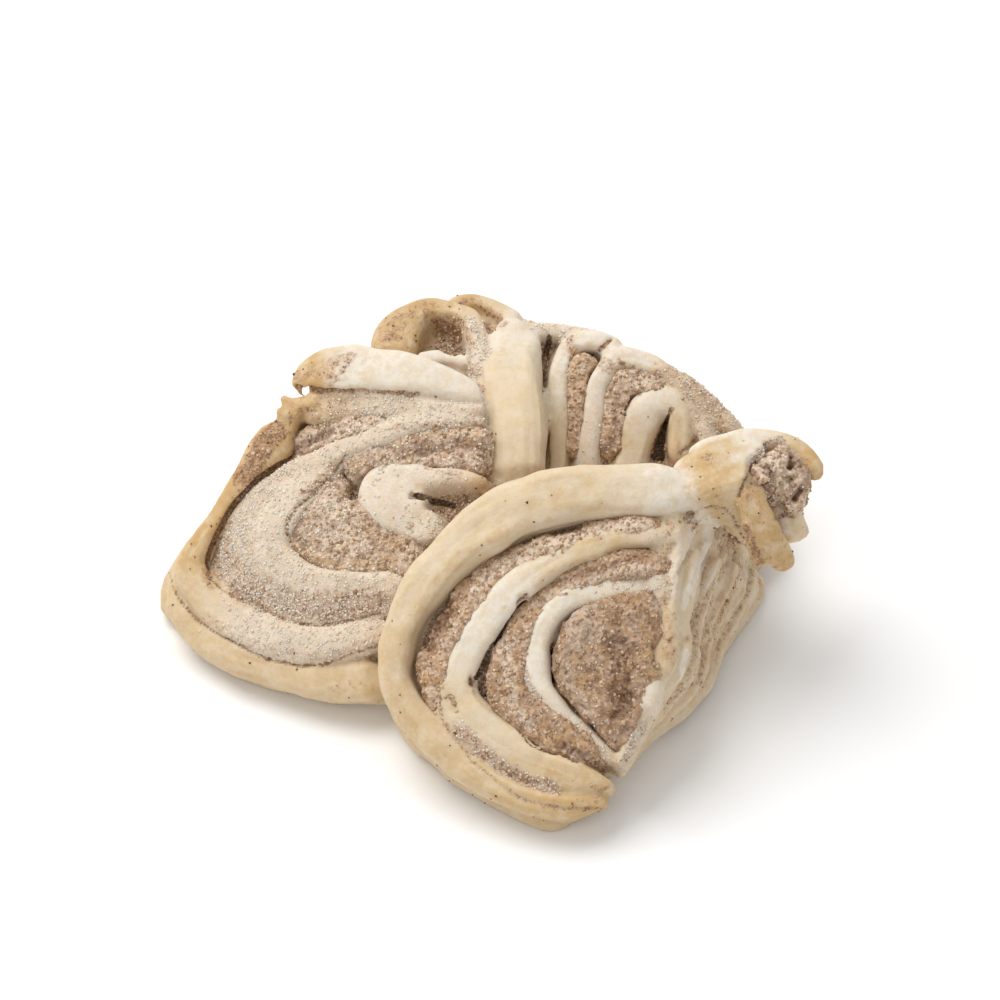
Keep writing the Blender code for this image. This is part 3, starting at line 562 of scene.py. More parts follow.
def back_curls():
    """Two small curls at the back left, arched over a hole."""
    return [
        band(LEVEL, [(-16.6, 21.2, 6.4, -0.8), (-15.6, 26.0, 7.4, -0.4), (-11.8, 29.6, 5.2, 0.0),
            (-7.6, 29.5, 3.8, 0.2), (-4.2, 27.6, 3.8, 0.6), (-2.9, 23.6, 3.8, 0.6),
            (-3.0, 18.6, 3.0, -0.4)], 9.0, "ochre ochre ochre skin dusted dusted"),
        # Dome strip in front of the hole
        band(LEVEL, [(-12.4, 21.4, 2.4, -1.6), (-8.4, 21.9, 2.8, -1.5), (-4.8, 21.0, 2.4, -1.6)], 8.0,
            "floury"),
        # Second curl behind
        band(LEVEL, [(-8.4, 30.0, 2.4, -1.0), (-5.4, 30.8, 2.8, -0.5), (-1.4, 29.9, 3.2, -0.8),
            (3.2, 27.4, 3.6, -1.2)], 9.0, "skin golden skin floury"),
    ]


def fillings():
    """Each strip of filling: its name, the face it lies in, its points as for band, and its depth."""
    return {
        "filling_front_outer": (FRONT, [(26.2, -3.0, 2.6, -1.2), (18, -3.6, 3.4, -1.4),
            (9, -6.4, 4.8, -1.9), (1.5, -9.8, 5.8, -2.2), (-5.0, -14.6, 6.2, -2.2),
            (-9.0, -19.8, 5.8, -2.0), (-10.4, -25.4, 5.2, -1.5), (-8.6, -31.2, 4.2, -1.6),
            (-3.6, -37.0, 3.2, -1.6), (3.4, -41.8, 2.6, -1.5), (8.6, -43.4, 2.2, -1.5)], 12.0),
        "filling_front_inner": (FRONT, [(26.0, -8.7, 3.4, -1.4), (17.6, -9.4, 4.0, -1.4),
            (11.6, -11.2, 3.8, -1.9), (6.4, -14.8, 3.8, -2.4), (2.8, -19.6, 4.2, -2.2),
            (0.8, -24.4, 5.0, -1.7), (0.6, -28.6, 5.2, -1.3), (4.6, -33.0, 5.0, -1.1),
            (10.4, -36.6, 4.8, -1.0), (15.4, -39.2, 3.4, -0.9)], 12.0),
        "filling_front_middle": (FRONT, [(25.4, -16.6, 6.0, -1.4), (20.0, -18.4, 10.4, -1.2),
            (16.0, -22.6, 15.0, -0.9), (16.8, -28.0, 14.0, -0.9), (17.4, -34.6, 4.8, -1.1),
            (17.4, -37.8, 2.2, -1.3)], 12.0),
        "filling_left_outer": (LEFT, [(-14, 12.6, 2.0, 0.1), (-20, 12.0, 2.8, 0.1),
            (-26.5, 10.4, 3.4, -0.4), (-32.4, 7.0, 3.2, -2.2), (-38.6, 0.4, 3.2, -2.8),
            (-42.4, -6.6, 3.6, -2.4), (-40.6, -12.8, 4.0, -1.6), (-33.0, -16.6, 4.0, -1.4),
            (-24, -17.8, 4.0, -1.2), (-15, -16.8, 4.0, -1.2)], 10.0),
        "filling_left_top": (LEFT, [(-1.2, 7.8, 7.0, 0.2), (-8, 8.2, 6.4, 0.3), (-15, 7.6, 4.8, 0.2),
            (-20.4, 6.4, 3.8, 0.1), (-23.0, 3.8, 3.4, 0.3)], 12.0),
        "filling_left_middle": (LEFT, [(-23.8, 4.0, 3.6, 0.3), (-27.2, 0.6, 6.0, 0.3),
            (-28.0, -3.8, 8.6, 0.1), (-22.4, -5.8, 11.0, 0.0), (-16.0, -6.4, 9.8, -0.2),
            (-11.0, -6.8, 8.6, -0.3)], 10.0),
        "filling_back_outer": (BACK, [(11.0, 6.0, 2.2, -0.3), (11.4, 15, 2.2, 1.1),
            (12.0, 20.0, 2.4, 1.4), (14.2, 21.8, 1.8, 1.4)], 10.0),
        "filling_back_inner": (BACK, [(16.2, 6.0, 2.6, -0.4), (16.9, 13.0, 2.6, 1.0),
            (18.6, 17.6, 3.0, 1.6), (24.0, 18.0, 2.4, 1.7), (29.0, 15.6, 2.6, 1.8),
            (32.8, 11.6, 3.4, 1.8)], 8.0),
        "filling_curl": (LEVEL, [(38.9, 7.0, 4.0, 6.5), (40.4, 6.0, 6.6, 6.4), (42.2, 5.0, 7.2, 5.8),
            (42.8, 2.4, 5.8, 4.0), (42.6, -2.0, 4.0, 0.6)], 5.0),
    }


# Edges that carry both brown grains and sugar
SECOND_TURN_EDGE = ((560, 590), (545, 598), (532, 612), (524, 632), (521, 655), (527, 680), (540, 702),
                    (560, 722), (580, 738))
ROLL_END_EDGE = ((752, 466), (758, 454), (766, 446), (777, 441))

# What is drawn on the dough as the camera sees it. Each line has a channel, an amount, a half width
# and a relief in millimetres, and its points in the picture's pixels, across and down.
DOUGH_LINES = (
    # Lip: golden speckled tip, red-brown crumbs along its torn lower edge
    ("golden", 1.0, 4.0, 0.0, ((296, 380), (312, 370), (336, 364), (352, 370))),
    ("golden", 0.5, 3.0, 0.0, ((352, 368), (372, 366))),
    ("brown", 0.5, 1.5, 0.0, ((297, 377), (320, 372), (352, 354), (332, 380))),
    ("brown", 1.0, 0.7, -0.4, ((298, 387), (310, 389), (330, 391), (352, 392))),
    ("brown", 0.75, 0.6, -0.3, ((352, 391), (368, 392), (384, 393), (400, 393), (416, 394))),
    ("golden", 0.8, 0.5, -0.3, ((420, 394), (440, 398), (460, 401), (480, 403))),
    ("brown", 0.5, 1.7, 0.0, ((296, 412), (315, 410), (330, 405), (345, 400))),
    # Sandy wedge under the lip, darkest at its lower edge
    ("brown", 0.6, 1.4, 0.0, ((296, 436), (316, 430), (340, 424), (365, 420), (385, 417))),
    ("brown", 0.9, 0.8, -0.2, ((300, 446), (320, 436), (345, 429), (365, 423), (385, 419))),
    # Brown dust, the golden inner face of the outer band with painted shade on it, and painted shade in the
    # deep groove beside it
    ("brown", 0.95, 2.6, 0.0, ((277, 428), (264, 443), (255, 460), (249, 476))),
    ("brown", 0.85, 0.7, 0.0, ((270, 433), (279, 431), (276, 445), (266, 455))),
    # Golden inner face of the outer band, with painted shade on it
    ("golden", 1.0, 1.3, 0.0, ((250, 480), (236, 500), (224, 520), (212, 545), (207, 572))),
    ("brown", 0.6, 1.0, 0.0, ((250, 480), (236, 498), (224, 518), (212, 545), (206, 575), (212, 588))),
    # Painted shade in the groove
    ("brown", 1.0, 0.9, -0.3, ((305, 448), (280, 463), (262, 476), (247, 491), (235, 504), (225, 519),
        (217, 536), (212, 550), (209, 565), (212, 577))),
    ("golden", 0.7, 3.2, 0.0, ((245, 430), (236, 455), (228, 480), (215, 505), (197, 530), (180, 552))),
    # Pink-brown slope of the mound and its lower edge
    ("brown", 0.60, 2.4, 0.0, ((228, 522), (226, 545), (234, 566), (250, 584), (276, 596), (310, 603),
        (350, 604), (378, 598))),
    ("brown", 0.72, 1.4, 0.0, ((236, 588), (262, 602), (300, 612), (340, 614), (378, 606))),
    ("golden", 0.8, 0.9, 0.0, ((250, 515), (247, 530), (252, 545))),
    ("brown", 0.85, 0.5, -0.4, ((212, 577), (225, 589), (240, 598), (262, 609), (283, 618), (300, 622),
        (317, 624), (350, 621), (379, 614))),
    # Pink lower edge of the bottom band and the line under it
    ("brown", 0.36, 1.2, 0.0, ((205, 616), (230, 634), (258, 647), (290, 656), (320, 656), (350, 648),
        (379, 638))),
    ("brown", 0.9, 0.4, -0.35, ((172, 578), (176, 590), (184, 603), (196, 617), (212, 629), (235, 643),
        (252, 652), (264, 659), (280, 662), (298, 666), (323, 664), (350, 654), (379, 646))),
    ("golden", 0.6, 1.6, 0.0, ((172, 600), (190, 625), (225, 655), (270, 678), (320, 690))),
    ("brown", 0.30, 1.0, 0.0, ((330, 690), (350, 684), (375, 690))),
    # Edge of the grainy middle, the brown grains on its left bank
    ("brown", 0.9, 0.5, -0.4, ((348, 456), (341, 467), (333, 479), (322, 489), (308, 500), (297, 509),
        (289, 521), (289, 533), (296, 546), (308, 556), (320, 562), (340, 566), (360, 568), (395, 567))),
    ("brown", 0.75, 1.0, 0.0, ((305, 492), (312, 488), (316, 494))),
    ("brown", 0.65, 1.4, 0.0, ((335, 466), (325, 478), (318, 486))),
    ("brown", 0.55, 1.0, 0.0, ((396, 428), (420, 427), (450, 422), (482, 424))),
    # Knob: sugar along its upper edge, and the tail's golden lower face over a brown slit
    ("sugared", 0.9, 0.9, 0.0, ((372, 486), (380, 468), (396, 459), (414, 459), (432, 466), (455, 471),
        (484, 467))),
    ("brown", 0.5, 0.6, 0.0, ((428, 470), (444, 476), (462, 476))),
    ("golden", 1.0, 0.9, 0.0, ((418, 486), (440, 487), (462, 483), (484, 478))),
    ("brown", 1.0, 0.8, -0.5, ((412, 495), (425, 498), (440, 502), (456, 506))),
    # Seam between the lip's end and the band over the middle
    ("golden", 0.8, 0.5, -0.2, ((463, 350), (470, 365), (478, 382), (483, 400), (486, 425), (486, 470))),
    ("brown", 0.8, 0.5, -0.2, ((486, 445), (486, 460), (485, 472))),
    # Broad rim: its yellow stretches, a red-brown speck, the brown rim of its inner edge
    ("golden", 0.55, 2.2, 0.0, ((640, 492), (600, 488), (560, 494), (520, 506), (480, 524))),
    ("golden", 0.75, 1.5, 0.0, ((640, 506), (600, 506), (560, 514), (520, 526), (484, 542), (456, 562),
        (434, 586), (420, 610), (410, 640), (405, 656))),
    ("floury", 1.0, 1.8, 0.0, ((672, 478), (650, 474), (655, 500), (668, 508))),
    ("brown", 1.0, 0.28, 0.0, ((505, 501), (506, 502))),
    ("brown", 0.6, 0.5, -0.3, ((422, 692), (436, 708), (456, 731), (474, 757), (488, 770), (501, 782),
        (525, 798), (545, 804), (563, 807), (600, 806))),
    ("golden", 0.75, 1.5, 0.0, ((392, 690), (420, 728), (455, 768), (500, 795))),
    ("golden", 0.6, 1.5, 0.0, ((386, 600), (382, 640), (388, 670))),
    # First inner turn: golden upper and lower edges, orange smudge, brown stains, pink lower side
    ("golden", 1.0, 0.8, 0.0, ((478, 592), (490, 584), (505, 574), (530, 562), (560, 549), (600, 538),
        (640, 530))),
    ("brown", 0.7, 1.1, 0.0, ((472, 594), (480, 588), (490, 581), (498, 577))),
    ("golden", 0.9, 0.8, 0.0, ((500, 606), (520, 594), (542, 582), (560, 572), (580, 562), (610, 553),
        (650, 546))),
    ("brown", 0.85, 0.5, -0.3, ((530, 599), (550, 590), (575, 577), (600, 570), (625, 560), (648, 552))),
    ("brown", 1.0, 0.9, -0.5, ((524, 597), (516, 606), (508, 616), (500, 631), (492, 643), (486, 656),
        (480, 667), (473, 679))),
    ("brown", 1.0, 0.5, -0.5, ((473, 681), (484, 692), (496, 705), (508, 719), (520, 731), (532, 743),
        (548, 750), (563, 754), (577, 760))),
    ("golden", 0.7, 0.8, 0.0, ((446, 655), (443, 680), (452, 706))),
    ("brown", 0.6, 1.8, 0.0, ((462, 727), (484, 750), (508, 769), (532, 782), (556, 789))),
    ("sugared", 0.8, 1.8, 0.0, ((460, 725), (484, 749), (508, 768), (532, 781), (552, 787))),
    ("golden", 0.85, 2.0, 0.0, ((550, 775), (572, 785), (592, 774), (604, 788))),
    ("brown", 0.8, 0.9, -0.2, ((572, 752), (590, 762), (602, 768), (612, 773))),
    ("brown", 0.5, 1.0, 0.0, ((590, 782), (603, 788), (596, 800))),
    ("brown", 1.0, 0.35, 0.0, ((577, 799), (581, 800))),
    ("brown", 0.8, 0.7, 0.0, ((584, 808), (600, 806))),
    # Second inner turn: speckled edges
    ("golden", 0.7, 0.5, 0.0, ((640, 584), (655, 588))),
    ("brown", 0.5, 0.9, 0.0, SECOND_TURN_EDGE),
    ("sugared", 0.9, 1.0, 0.0, SECOND_TURN_EDGE),
    ("brown", 1.0, 0.9, -0.4, ((554, 650), (556, 662), (552, 672), (553, 683))),
    ("brown", 0.6, 0.8, -0.2, ((556, 686), (570, 702), (585, 716), (598, 728), (612, 742))),
    ("golden", 1.0, 2.2, 0.0, ((655, 640), (662, 655), (655, 676))),
    ("brown", 0.5, 1.0, 0.0, ((652, 612), (658, 628), (652, 645))),
    ("brown", 0.5, 1.2, 0.0, ((668, 526), (668, 545), (670, 565))),
    ("golden", 0.9, 1.6, 0.0, ((664, 600), (668, 640), (664, 672))),
    ("brown", 0.5, 1.4, 0.0, ((642, 724), (632, 740), (622, 756))),
    ("sugared", 0.9, 2.0, 0.0, ((642, 724), (632, 740), (622, 756), (616, 768))),
    # Flank: brown lines of painted shade between its ribbons, painted shade in the recess under the knob and
    # below the tongue, the crack and the lower golden skin
    ("brown", 0.75, 0.45, -0.4, ((680, 523), (690, 515), (700, 510), (712, 509), (724, 511), (732, 518),
        (738, 530))),
    ("brown", 0.52, 1.0, -0.3, ((676, 546), (669, 558), (667, 575), (670, 590), (667, 602))),
    ("brown", 0.32, 0.8, -0.3, ((702, 540), (691, 553), (681, 570), (674, 583), (669, 597))),
    ("brown", 0.36, 0.9, -0.4, ((717, 533), (709, 550), (703, 570), (700, 590), (697, 607), (692, 622),
        (688, 636), (680, 645))),
    ("brown", 0.52, 1.1, -0.4, ((728, 558), (718, 575), (708, 592), (702, 608), (697, 628), (694, 652))),
    ("brown", 0.56, 1.3, -0.4, ((742, 560), (737, 580), (728, 600), (718, 618), (710, 638), (703, 655),
        (699, 675))),
    ("brown", 0.52, 1.1, -0.3, ((752, 572), (744, 595), (731, 615), (722, 635), (714, 655))),
    ("brown", 0.5, 1.4, -0.2, ((700, 600), (695, 620), (690, 640), (700, 650))),
    # Painted shade below the tongue
    ("brown", 0.5, 1.0, 0.0, ((745, 560), (755, 572), (760, 585))),
    ("brown", 0.42, 1.2, 0.0, ((664, 600), (668, 620), (665, 640), (670, 660))),
    ("brown", 0.8, 0.4, -0.3, ((700, 683), (690, 684), (680, 690), (670, 697), (653, 703))),
    ("brown", 0.9, 0.45, 0.0, ((674, 612), (675, 618))),
    ("brown", 0.9, 0.45, 0.0, ((673, 633), (669, 640))),
    ("brown", 1.0, 0.35, 0.0, ((705, 629), (706, 630))),
    # Painted shade in the recess under the knob
    ("brown", 0.62, 2.2, -1.2, ((722, 545), (732, 542), (738, 556))),
    ("floury", 1.0, 1.5, 0.0, ((688, 522), (705, 520), (716, 530))),
    ("floury", 0.6, 2.0, 0.0, ((684, 530), (678, 548), (671, 572), (668, 596))),
    # Partly painted light: lightens the upper flank's white layers where the knob shades them
    ("floury", 1.0, 2.6, 0.0, ((708, 534), (704, 550), (698, 568), (693, 586))),
    ("floury", 1.0, 1.2, 0.30, ((690, 528), (685, 550), (678, 570), (672, 592))),
    ("floury", 1.0, 1.0, 0.30, ((704, 545), (696, 566), (688, 588), (683, 606))),
    ("floury", 1.0, 0.8, 0.40, ((716, 560), (708, 576), (703, 588))),
    ("floury", 0.4, 0.8, 0.30, ((723, 595), (714, 612), (707, 632), (703, 645))),
    ("floury", 0.4, 0.9, 0.30, ((741, 590), (730, 612), (719, 636), (712, 650))),
    ("floury", 1.0, 1.2, 0.20, ((683, 655), (681, 672))),
    ("floury", 0.3, 1.2, 0.20, ((655, 720), (680, 705), (700, 690), (708, 676))),
    # Painted shade over the middle of the flank
    ("brown", 0.42, 3.0, 0.0, ((710, 596), (704, 640), (688, 672), (664, 704))),
    ("golden", 1.0, 3.6, 0.0, ((736, 584), (724, 612), (711, 645), (694, 672))),
    ("golden", 0.8, 3.2, 0.0, ((700, 690), (676, 710), (650, 734))),
    ("golden", 1.0, 1.5, 0.0, ((764, 578), (756, 600), (742, 620), (728, 645), (720, 672), (704, 700),
        (685, 718))),
    # Knob, tongue and hooked band
    ("golden", 1.0, 3.6, 0.0, ((690, 468), (706, 458), (726, 462), (722, 488), (698, 494), (690, 480))),
    # Painted shade that dims the knob's lit top
    ("brown", 0.18, 3.0, 0.0, ((696, 474), (708, 464), (716, 476), (704, 488))),
    ("brown", 0.42, 1.2, 0.0, ((700, 460), (708, 456), (714, 461))),
    ("golden", 0.9, 1.4, 0.0, ((735, 466), (740, 480))),
    ("brown", 0.7, 0.35, 0.0, ((717, 497), (718, 498))),
    ("brown", 1.0, 0.5, -0.4, ((762, 446), (756, 460), (750, 472), (744, 484), (738, 496))),
    ("golden", 1.0, 1.6, 0.0, ((803, 448), (813, 464), (818, 480))),
    ("brown", 0.6, 0.9, 0.0, ((802, 462), (806, 476), (810, 484))),
    ("brown", 0.9, 1.1, 0.2, ((744, 528), (748, 542), (753, 553), (757, 562))),
    ("brown", 0.65, 1.2, 0.0, ((757, 495), (748, 492), (742, 500))),
    ("brown", 0.42, 1.6, 0.0, ((768, 568), (780, 572))),
    # Porous end of the roll under the hook
    ("brown", 0.55, 1.7, 0.0, ROLL_END_EDGE),
    ("sugared", 1.0, 1.6, 0.0, ROLL_END_EDGE),
    ("brown", 0.7, 0.6, -0.3, ((774, 518), (784, 514), (792, 516))),
    ("floury", 1.0, 1.2, 0.2, ((784, 500), (782, 510), (786, 530))),
    # Back lobe: seams, brown stretches between its strips, partly filling and partly painted shade on the
    # strips' sides, the loop's slit, the speckled rim
    ("brown", 1.0, 0.5, -0.5, ((546, 338), (547, 350), (545, 375), (545, 400), (547, 425), (548, 445),
        (549, 463))),
    ("brown", 0.7, 0.6, -0.2, ((546, 336), (549, 345), (546, 358))),
    ("golden", 0.9, 0.8, 0.0, ((550, 327), (566, 326), (582, 330))),
    # Golden and brown beside the first strip: partly painted shade on its side
    ("golden", 1.0, 1.5, 0.0, ((564, 340), (568, 356), (569, 372), (567, 395), (563, 420))),
    ("brown", 0.62, 1.3, 0.0, ((569, 340), (572, 354), (576, 375), (574, 395), (571, 420), (570, 445))),
    ("brown", 1.0, 0.5, -0.4, ((610, 342), (600, 351), (590, 361), (586, 372), (584, 385), (582, 400))),
    ("golden", 0.8, 0.8, 0.0, ((600, 372), (597, 395), (596, 420), (592, 445))),
    ("brown", 0.55, 1.6, 0.0, ((606, 366), (622, 368), (642, 376), (660, 376))),
    ("brown", 0.5, 1.5, 0.0, ((668, 372), (690, 384), (706, 396), (722, 408))),
    ("golden", 1.0, 1.7, 0.0, ((664, 370), (690, 382), (708, 394), (724, 410))),
    ("golden", 0.9, 1.3, 0.0, ((626, 405), (624, 425), (622, 448))),
    ("golden", 1.0, 0.9, 0.0, ((666, 408), (672, 414), (676, 428), (676, 448))),
    ("brown", 1.0, 0.6, -0.3, ((669, 411), (666, 420), (662, 432), (658, 446))),
    ("brown", 1.0, 1.4, 0.0, ((660, 446), (660, 458))),
    ("brown", 0.85, 0.6, -0.2, ((697, 440), (690, 446), (682, 453))),
    ("brown", 0.5, 1.4, 0.0, ((704, 398), (716, 410), (722, 426))),
    # Back curls: speckled golden face, red-brown smear, painted shade in the hole, specks inside the second
    # curl
    ("golden", 1.0, 3.4, 0.0, ((385, 335), (395, 318), (410, 308), (430, 306), (450, 308))),
    ("golden", 1.0, 2.6, 0.0, ((395, 340), (410, 330), (425, 320))),
    ("brown", 0.5, 2.6, 0.0, ((388, 336), (396, 322), (410, 312), (424, 308))),
    ("brown", 0.85, 1.1, 0.0, ((382, 341), (390, 336), (397, 338))),
    ("brown", 0.7, 0.5, 0.0, ((393, 329), (396, 331))),
    # Painted shade in the hole
    ("brown", 1.0, 2.0, 0.0, ((441, 324), (450, 326), (460, 334), (452, 342), (443, 334))),
    ("brown", 0.62, 1.2, 0.0, ((448, 316), (462, 322), (470, 334), (473, 348))),
    ("golden", 1.0, 1.0, 0.0, ((434, 318), (438, 330), (428, 346))),
    ("golden", 0.9, 1.4, 0.0, ((460, 298), (478, 303), (495, 314), (505, 322))),
    ("brown", 0.62, 1.2, 0.0, ((462, 299), (480, 304), (490, 311), (504, 322))),
    ("sugared", 1.0, 1.6, 0.0, ((470, 318), (482, 335), (488, 352))),
)

# Open holes cut in the dough: the face, points as for band, and depth
HOLES = (
    # Under the small curls at the back left
    (LEVEL, ((-9.0, 26.2, 2.0, 2.0), (-7.6, 25.4, 3.4, 2.0), (-5.8, 24.4, 2.6, 2.0)), 17.0),
    # In the back lobe's inner loop
    (BACK, ((25.3, 13.2, 0.7, 2.4), (24.8, 10.6, 1.0, 2.2), (24.2, 8.6, 1.9, 1.8),
        (23.8, 5.4, 2.8, 1.2)), 8.0),
)

# Slits cut in the dough: width and depth in millimetres, points in the picture's pixels
SLITS = (
    (1.3, 1.3, ((300, 451), (280, 464), (262, 476), (247, 491), (235, 504), (225, 519), (217, 535),
        (212, 550), (209, 562), (211, 572))),
    (1.0, 1.6, ((414, 495), (426, 498), (440, 502), (456, 507))),
    (1.2, 2.6, ((527, 601), (518, 608), (508, 620), (500, 632), (493, 643))),
    (0.9, 2.0, ((489, 646), (485, 656), (480, 668), (475, 677))),
    (0.8, 1.6, ((485, 692), (505, 709), (520, 727), (540, 746))),
    (1.3, 2.6, ((555, 650), (557, 660), (552, 672), (553, 683))),
    (0.7, 1.2, ((547, 334), (546, 346), (545, 357))),
    (0.8, 1.4, ((590, 360), (586, 372), (584, 390))),
    (1.7, 30.0, ((298, 392), (304, 390), (311, 389))),
)

# What is drawn on the filling: channel, amount, half width, relief, points in the picture's pixels
FILLING_LINES = (
    # Outer filling of the front lobe: painted shade under the rim, sugary beside the first turn
    ("dark", 1.0, 4.0, -0.9, ((426, 634), (434, 614), (447, 594), (464, 576))),
    ("dark", 1.0, 1.9, -0.7, ((464, 575), (488, 556), (512, 542), (540, 534), (575, 527))),
    ("dark", 1.0, 1.0, -0.5, ((419, 606), (424, 616), (421, 626))),
    ("pale", 0.5, 1.0, 0.2, ((450, 640), (459, 616), (472, 594))),
    ("pale", 1.0, 2.0, 0.3, ((476, 588), (488, 576), (508, 562), (530, 552), (556, 543), (600, 528),
        (640, 524))),
    ("amber", 1.0, 1.9, 0.0, ((413, 650), (418, 664), (426, 682))),
    ("amber", 0.7, 1.1, 0.0, ((600, 517), (625, 515), (655, 522), (668, 526))),
    ("pale", 0.8, 1.4, 0.0, ((432, 690), (446, 710), (464, 732), (486, 756), (512, 778))),
    ("amber", 1.0, 2.2, 0.0, ((440, 700), (458, 726), (480, 752), (510, 778))),
    # Inner filling: painted shade at the notch, orange-brown smear at the bottom
    ("dark", 1.0, 1.1, -0.4, ((518, 603), (505, 620), (494, 640), (487, 657), (481, 670))),
    ("amber", 0.7, 1.6, 0.0, ((500, 676), (515, 680), (508, 692))),
    ("pale", 0.8, 1.2, 0.0, ((502, 632), (506, 655), (512, 700), (526, 722))),
    ("amber", 1.0, 1.7, 0.0, ((540, 730), (560, 738), (580, 744), (600, 752))),
    ("dark", 1.0, 1.0, 0.0, ((560, 742), (576, 750), (590, 758), (603, 766))),
    ("dark", 0.8, 1.0, 0.0, ((560, 582), (580, 576), (600, 569), (622, 560), (645, 554))),
    ("pale", 0.8, 0.9, 0.0, ((540, 600), (560, 590), (600, 576), (630, 569), (655, 566))),
    # Middle of the front lobe: a smooth darker patch, lilac crumbs above it, amber to the right
    ("dark", 1.0, 3.0, -0.4, ((618, 646), (622, 668), (616, 688), (624, 702))),
    ("pale", 0.75, 2.4, 0.2, ((568, 604), (582, 620), (576, 640), (594, 628))),
    ("pale", 0.5, 1.7, 0.0, ((560, 656), (568, 684), (586, 708))),
    ("amber", 0.9, 1.5, 0.0, ((576, 660), (582, 680), (592, 700))),
    ("amber", 1.0, 3.2, 0.0, ((646, 612), (652, 632), (648, 650), (652, 668))),
    ("pale", 0.9, 1.0, 0.0, ((652, 604), (660, 600), (662, 612))),
    ("dark", 0.8, 0.9, 0.0, ((640, 606), (648, 618), (655, 632), (652, 648))),
    ("dark", 0.9, 1.0, -0.3, ((554, 648), (556, 662), (553, 680))),
    ("dark", 0.6, 1.2, 0.0, ((610, 722), (620, 735), (628, 722))),
    # Left lobe: brown-lilac wedge at the top, sparkling grey and amber middle, painted shade in the groove
    # under the outer band
    ("amber", 0.8, 1.6, 0.0, ((385, 442), (405, 433), (430, 431), (455, 429), (480, 434))),
    ("dark", 0.9, 1.1, -0.2, ((400, 455), (420, 452), (440, 448), (460, 444), (484, 448))),
    ("pale", 0.9, 1.3, 0.1, ((425, 462), (445, 462), (470, 458))),
    ("pale", 0.7, 1.0, 0.0, ((374, 448), (386, 452))),
    ("dark", 0.5, 1.2, 0.0, ((415, 438), (428, 444))),
    ("amber", 0.8, 1.2, 0.0, ((297, 545), (312, 556), (340, 564), (390, 564))),
    ("pale", 0.85, 3.0, 0.0, ((318, 500), (336, 506), (346, 520), (326, 530), (350, 540))),
    ("pale", 0.9, 1.6, 0.0, ((345, 470), (352, 484), (348, 498))),
    ("amber", 0.7, 1.4, 0.0, ((370, 530), (392, 540), (406, 552))),
    ("dark", 0.7, 1.0, -0.2, ((300, 520), (296, 534), (304, 546))),
    ("amber", 0.5, 1.4, 0.0, ((345, 418), (320, 428), (300, 436))),
    ("pale", 1.0, 1.4, 0.0, ((385, 424), (360, 428), (335, 436), (312, 446))),
    # Painted shade in the groove under the outer band
    ("dark", 1.0, 1.2, -0.3, ((330, 432), (305, 445), (285, 456), (268, 470))),
    # Back lobe and the curl
    ("amber", 0.9, 1.6, 0.0, ((606, 372), (614, 392), (606, 418), (608, 440))),
    ("amber", 0.8, 1.0, 0.0, ((572, 368), (574, 395), (572, 425))),
    ("dark", 0.6, 0.9, 0.0, ((620, 385), (615, 405), (614, 428), (604, 452))),
    ("pale", 0.8, 1.0, 0.0, ((597, 420), (600, 445), (602, 460))),
    ("amber", 0.9, 1.4, 0.0, ((690, 390), (705, 410), (715, 430))),
    ("pale", 0.9, 1.8, 0.0, ((616, 388), (628, 384), (642, 380), (660, 378), (690, 400))),
    ("dark", 0.9, 0.8, 0.0, ((700, 432), (694, 440), (706, 440))),
    ("dark", 1.0, 0.9, -1.2, ((767, 466), (770, 474))),
    ("dark", 1.0, 0.8, -1.2, ((791, 454), (789, 466))),
    ("dark", 1.0, 0.8, -1.2, ((798, 491), (793, 500))),
    ("amber", 0.9, 1.2, 0.0, ((755, 480), (766, 488), (770, 496))),
    ("dark", 0.7, 1.0, 0.0, ((800, 466), (806, 480), (800, 486))),
    ("pale", 0.9, 2.6, 0.0, ((772, 452), (778, 480), (770, 500), (790, 506))),
    ("pale", 0.9, 1.4, 0.0, ((780, 444), (798, 452))),
)
FILLING_CHANNELS = ("pale", "amber", "dark")

# How far the top of a filling slopes, in radians
FILLING_LEAN = {"filling_front_outer": 0.35, "filling_front_inner": 0.2, "filling_left_outer": 0.1}

# How pale, amber and dark a filling is all over
FILLING_TINT = {
    "filling_front_outer": (0.0, 0.4, 0.1),
    "filling_front_inner": (0.0, 0.2, 0.1),
    "filling_front_middle": (0.0, 0.3, 0.35),
    "filling_left_outer": (0.55, 0.0, 0.0),
    "filling_left_top": (0.35, 0.0, 0.0),
    "filling_left_middle": (0.25, 0.0, 0.0),
    "filling_back_outer": (0.3, 0.8, 0.0),
    "filling_back_inner": (0.55, 0.5, 0.0),
    "filling_curl": (0.6, 0.0, 0.0),
}

# How deep the pores of a filling are and how far apart, in millimetres, then the seed of their
# noise, how steep their sides are, and how much of the surface stays free of them
FILLING_PORES = {"filling_curl": 1.4, "filling_front_middle": 0.6, "filling_left_middle": 0.2}
PLAIN_PORES = 0.3
PORE_SIZE = 1.9
PORE_SEED = 15
PORE_STEEPNESS = 2.5
PORE_START = 0.7

# Layers of random relief: how much each adds in millimetres, its size in millimetres and its seed
BROAD_RELIEF = ((0.26, 7.0, 1), (0.12, 2.6, 2))
SUGARED_RELIEF = ((0.06, 1.1, 3), (0.05, 0.6, 4))
BROWN_RELIEF = ((0.14, 1.4, 5), (0.09, 0.7, 6))
FILLING_RELIEF = ((0.34, 3.4, 11), (0.22, 1.6, 12), (0.18, 0.8, 13), (0.14, 0.45, 14))

# How ragged the edges of drawn lines are, in layers of the same kind but as shares of the width,
# how quickly the lines fade at their edges, and how far round them vertices are looked for
RAGGED_EDGES = ((0.35, 0.9, 31), (0.25, 2.2, 32))
LINE_FADE = 1.6
SEARCH_SHARE = 1.6

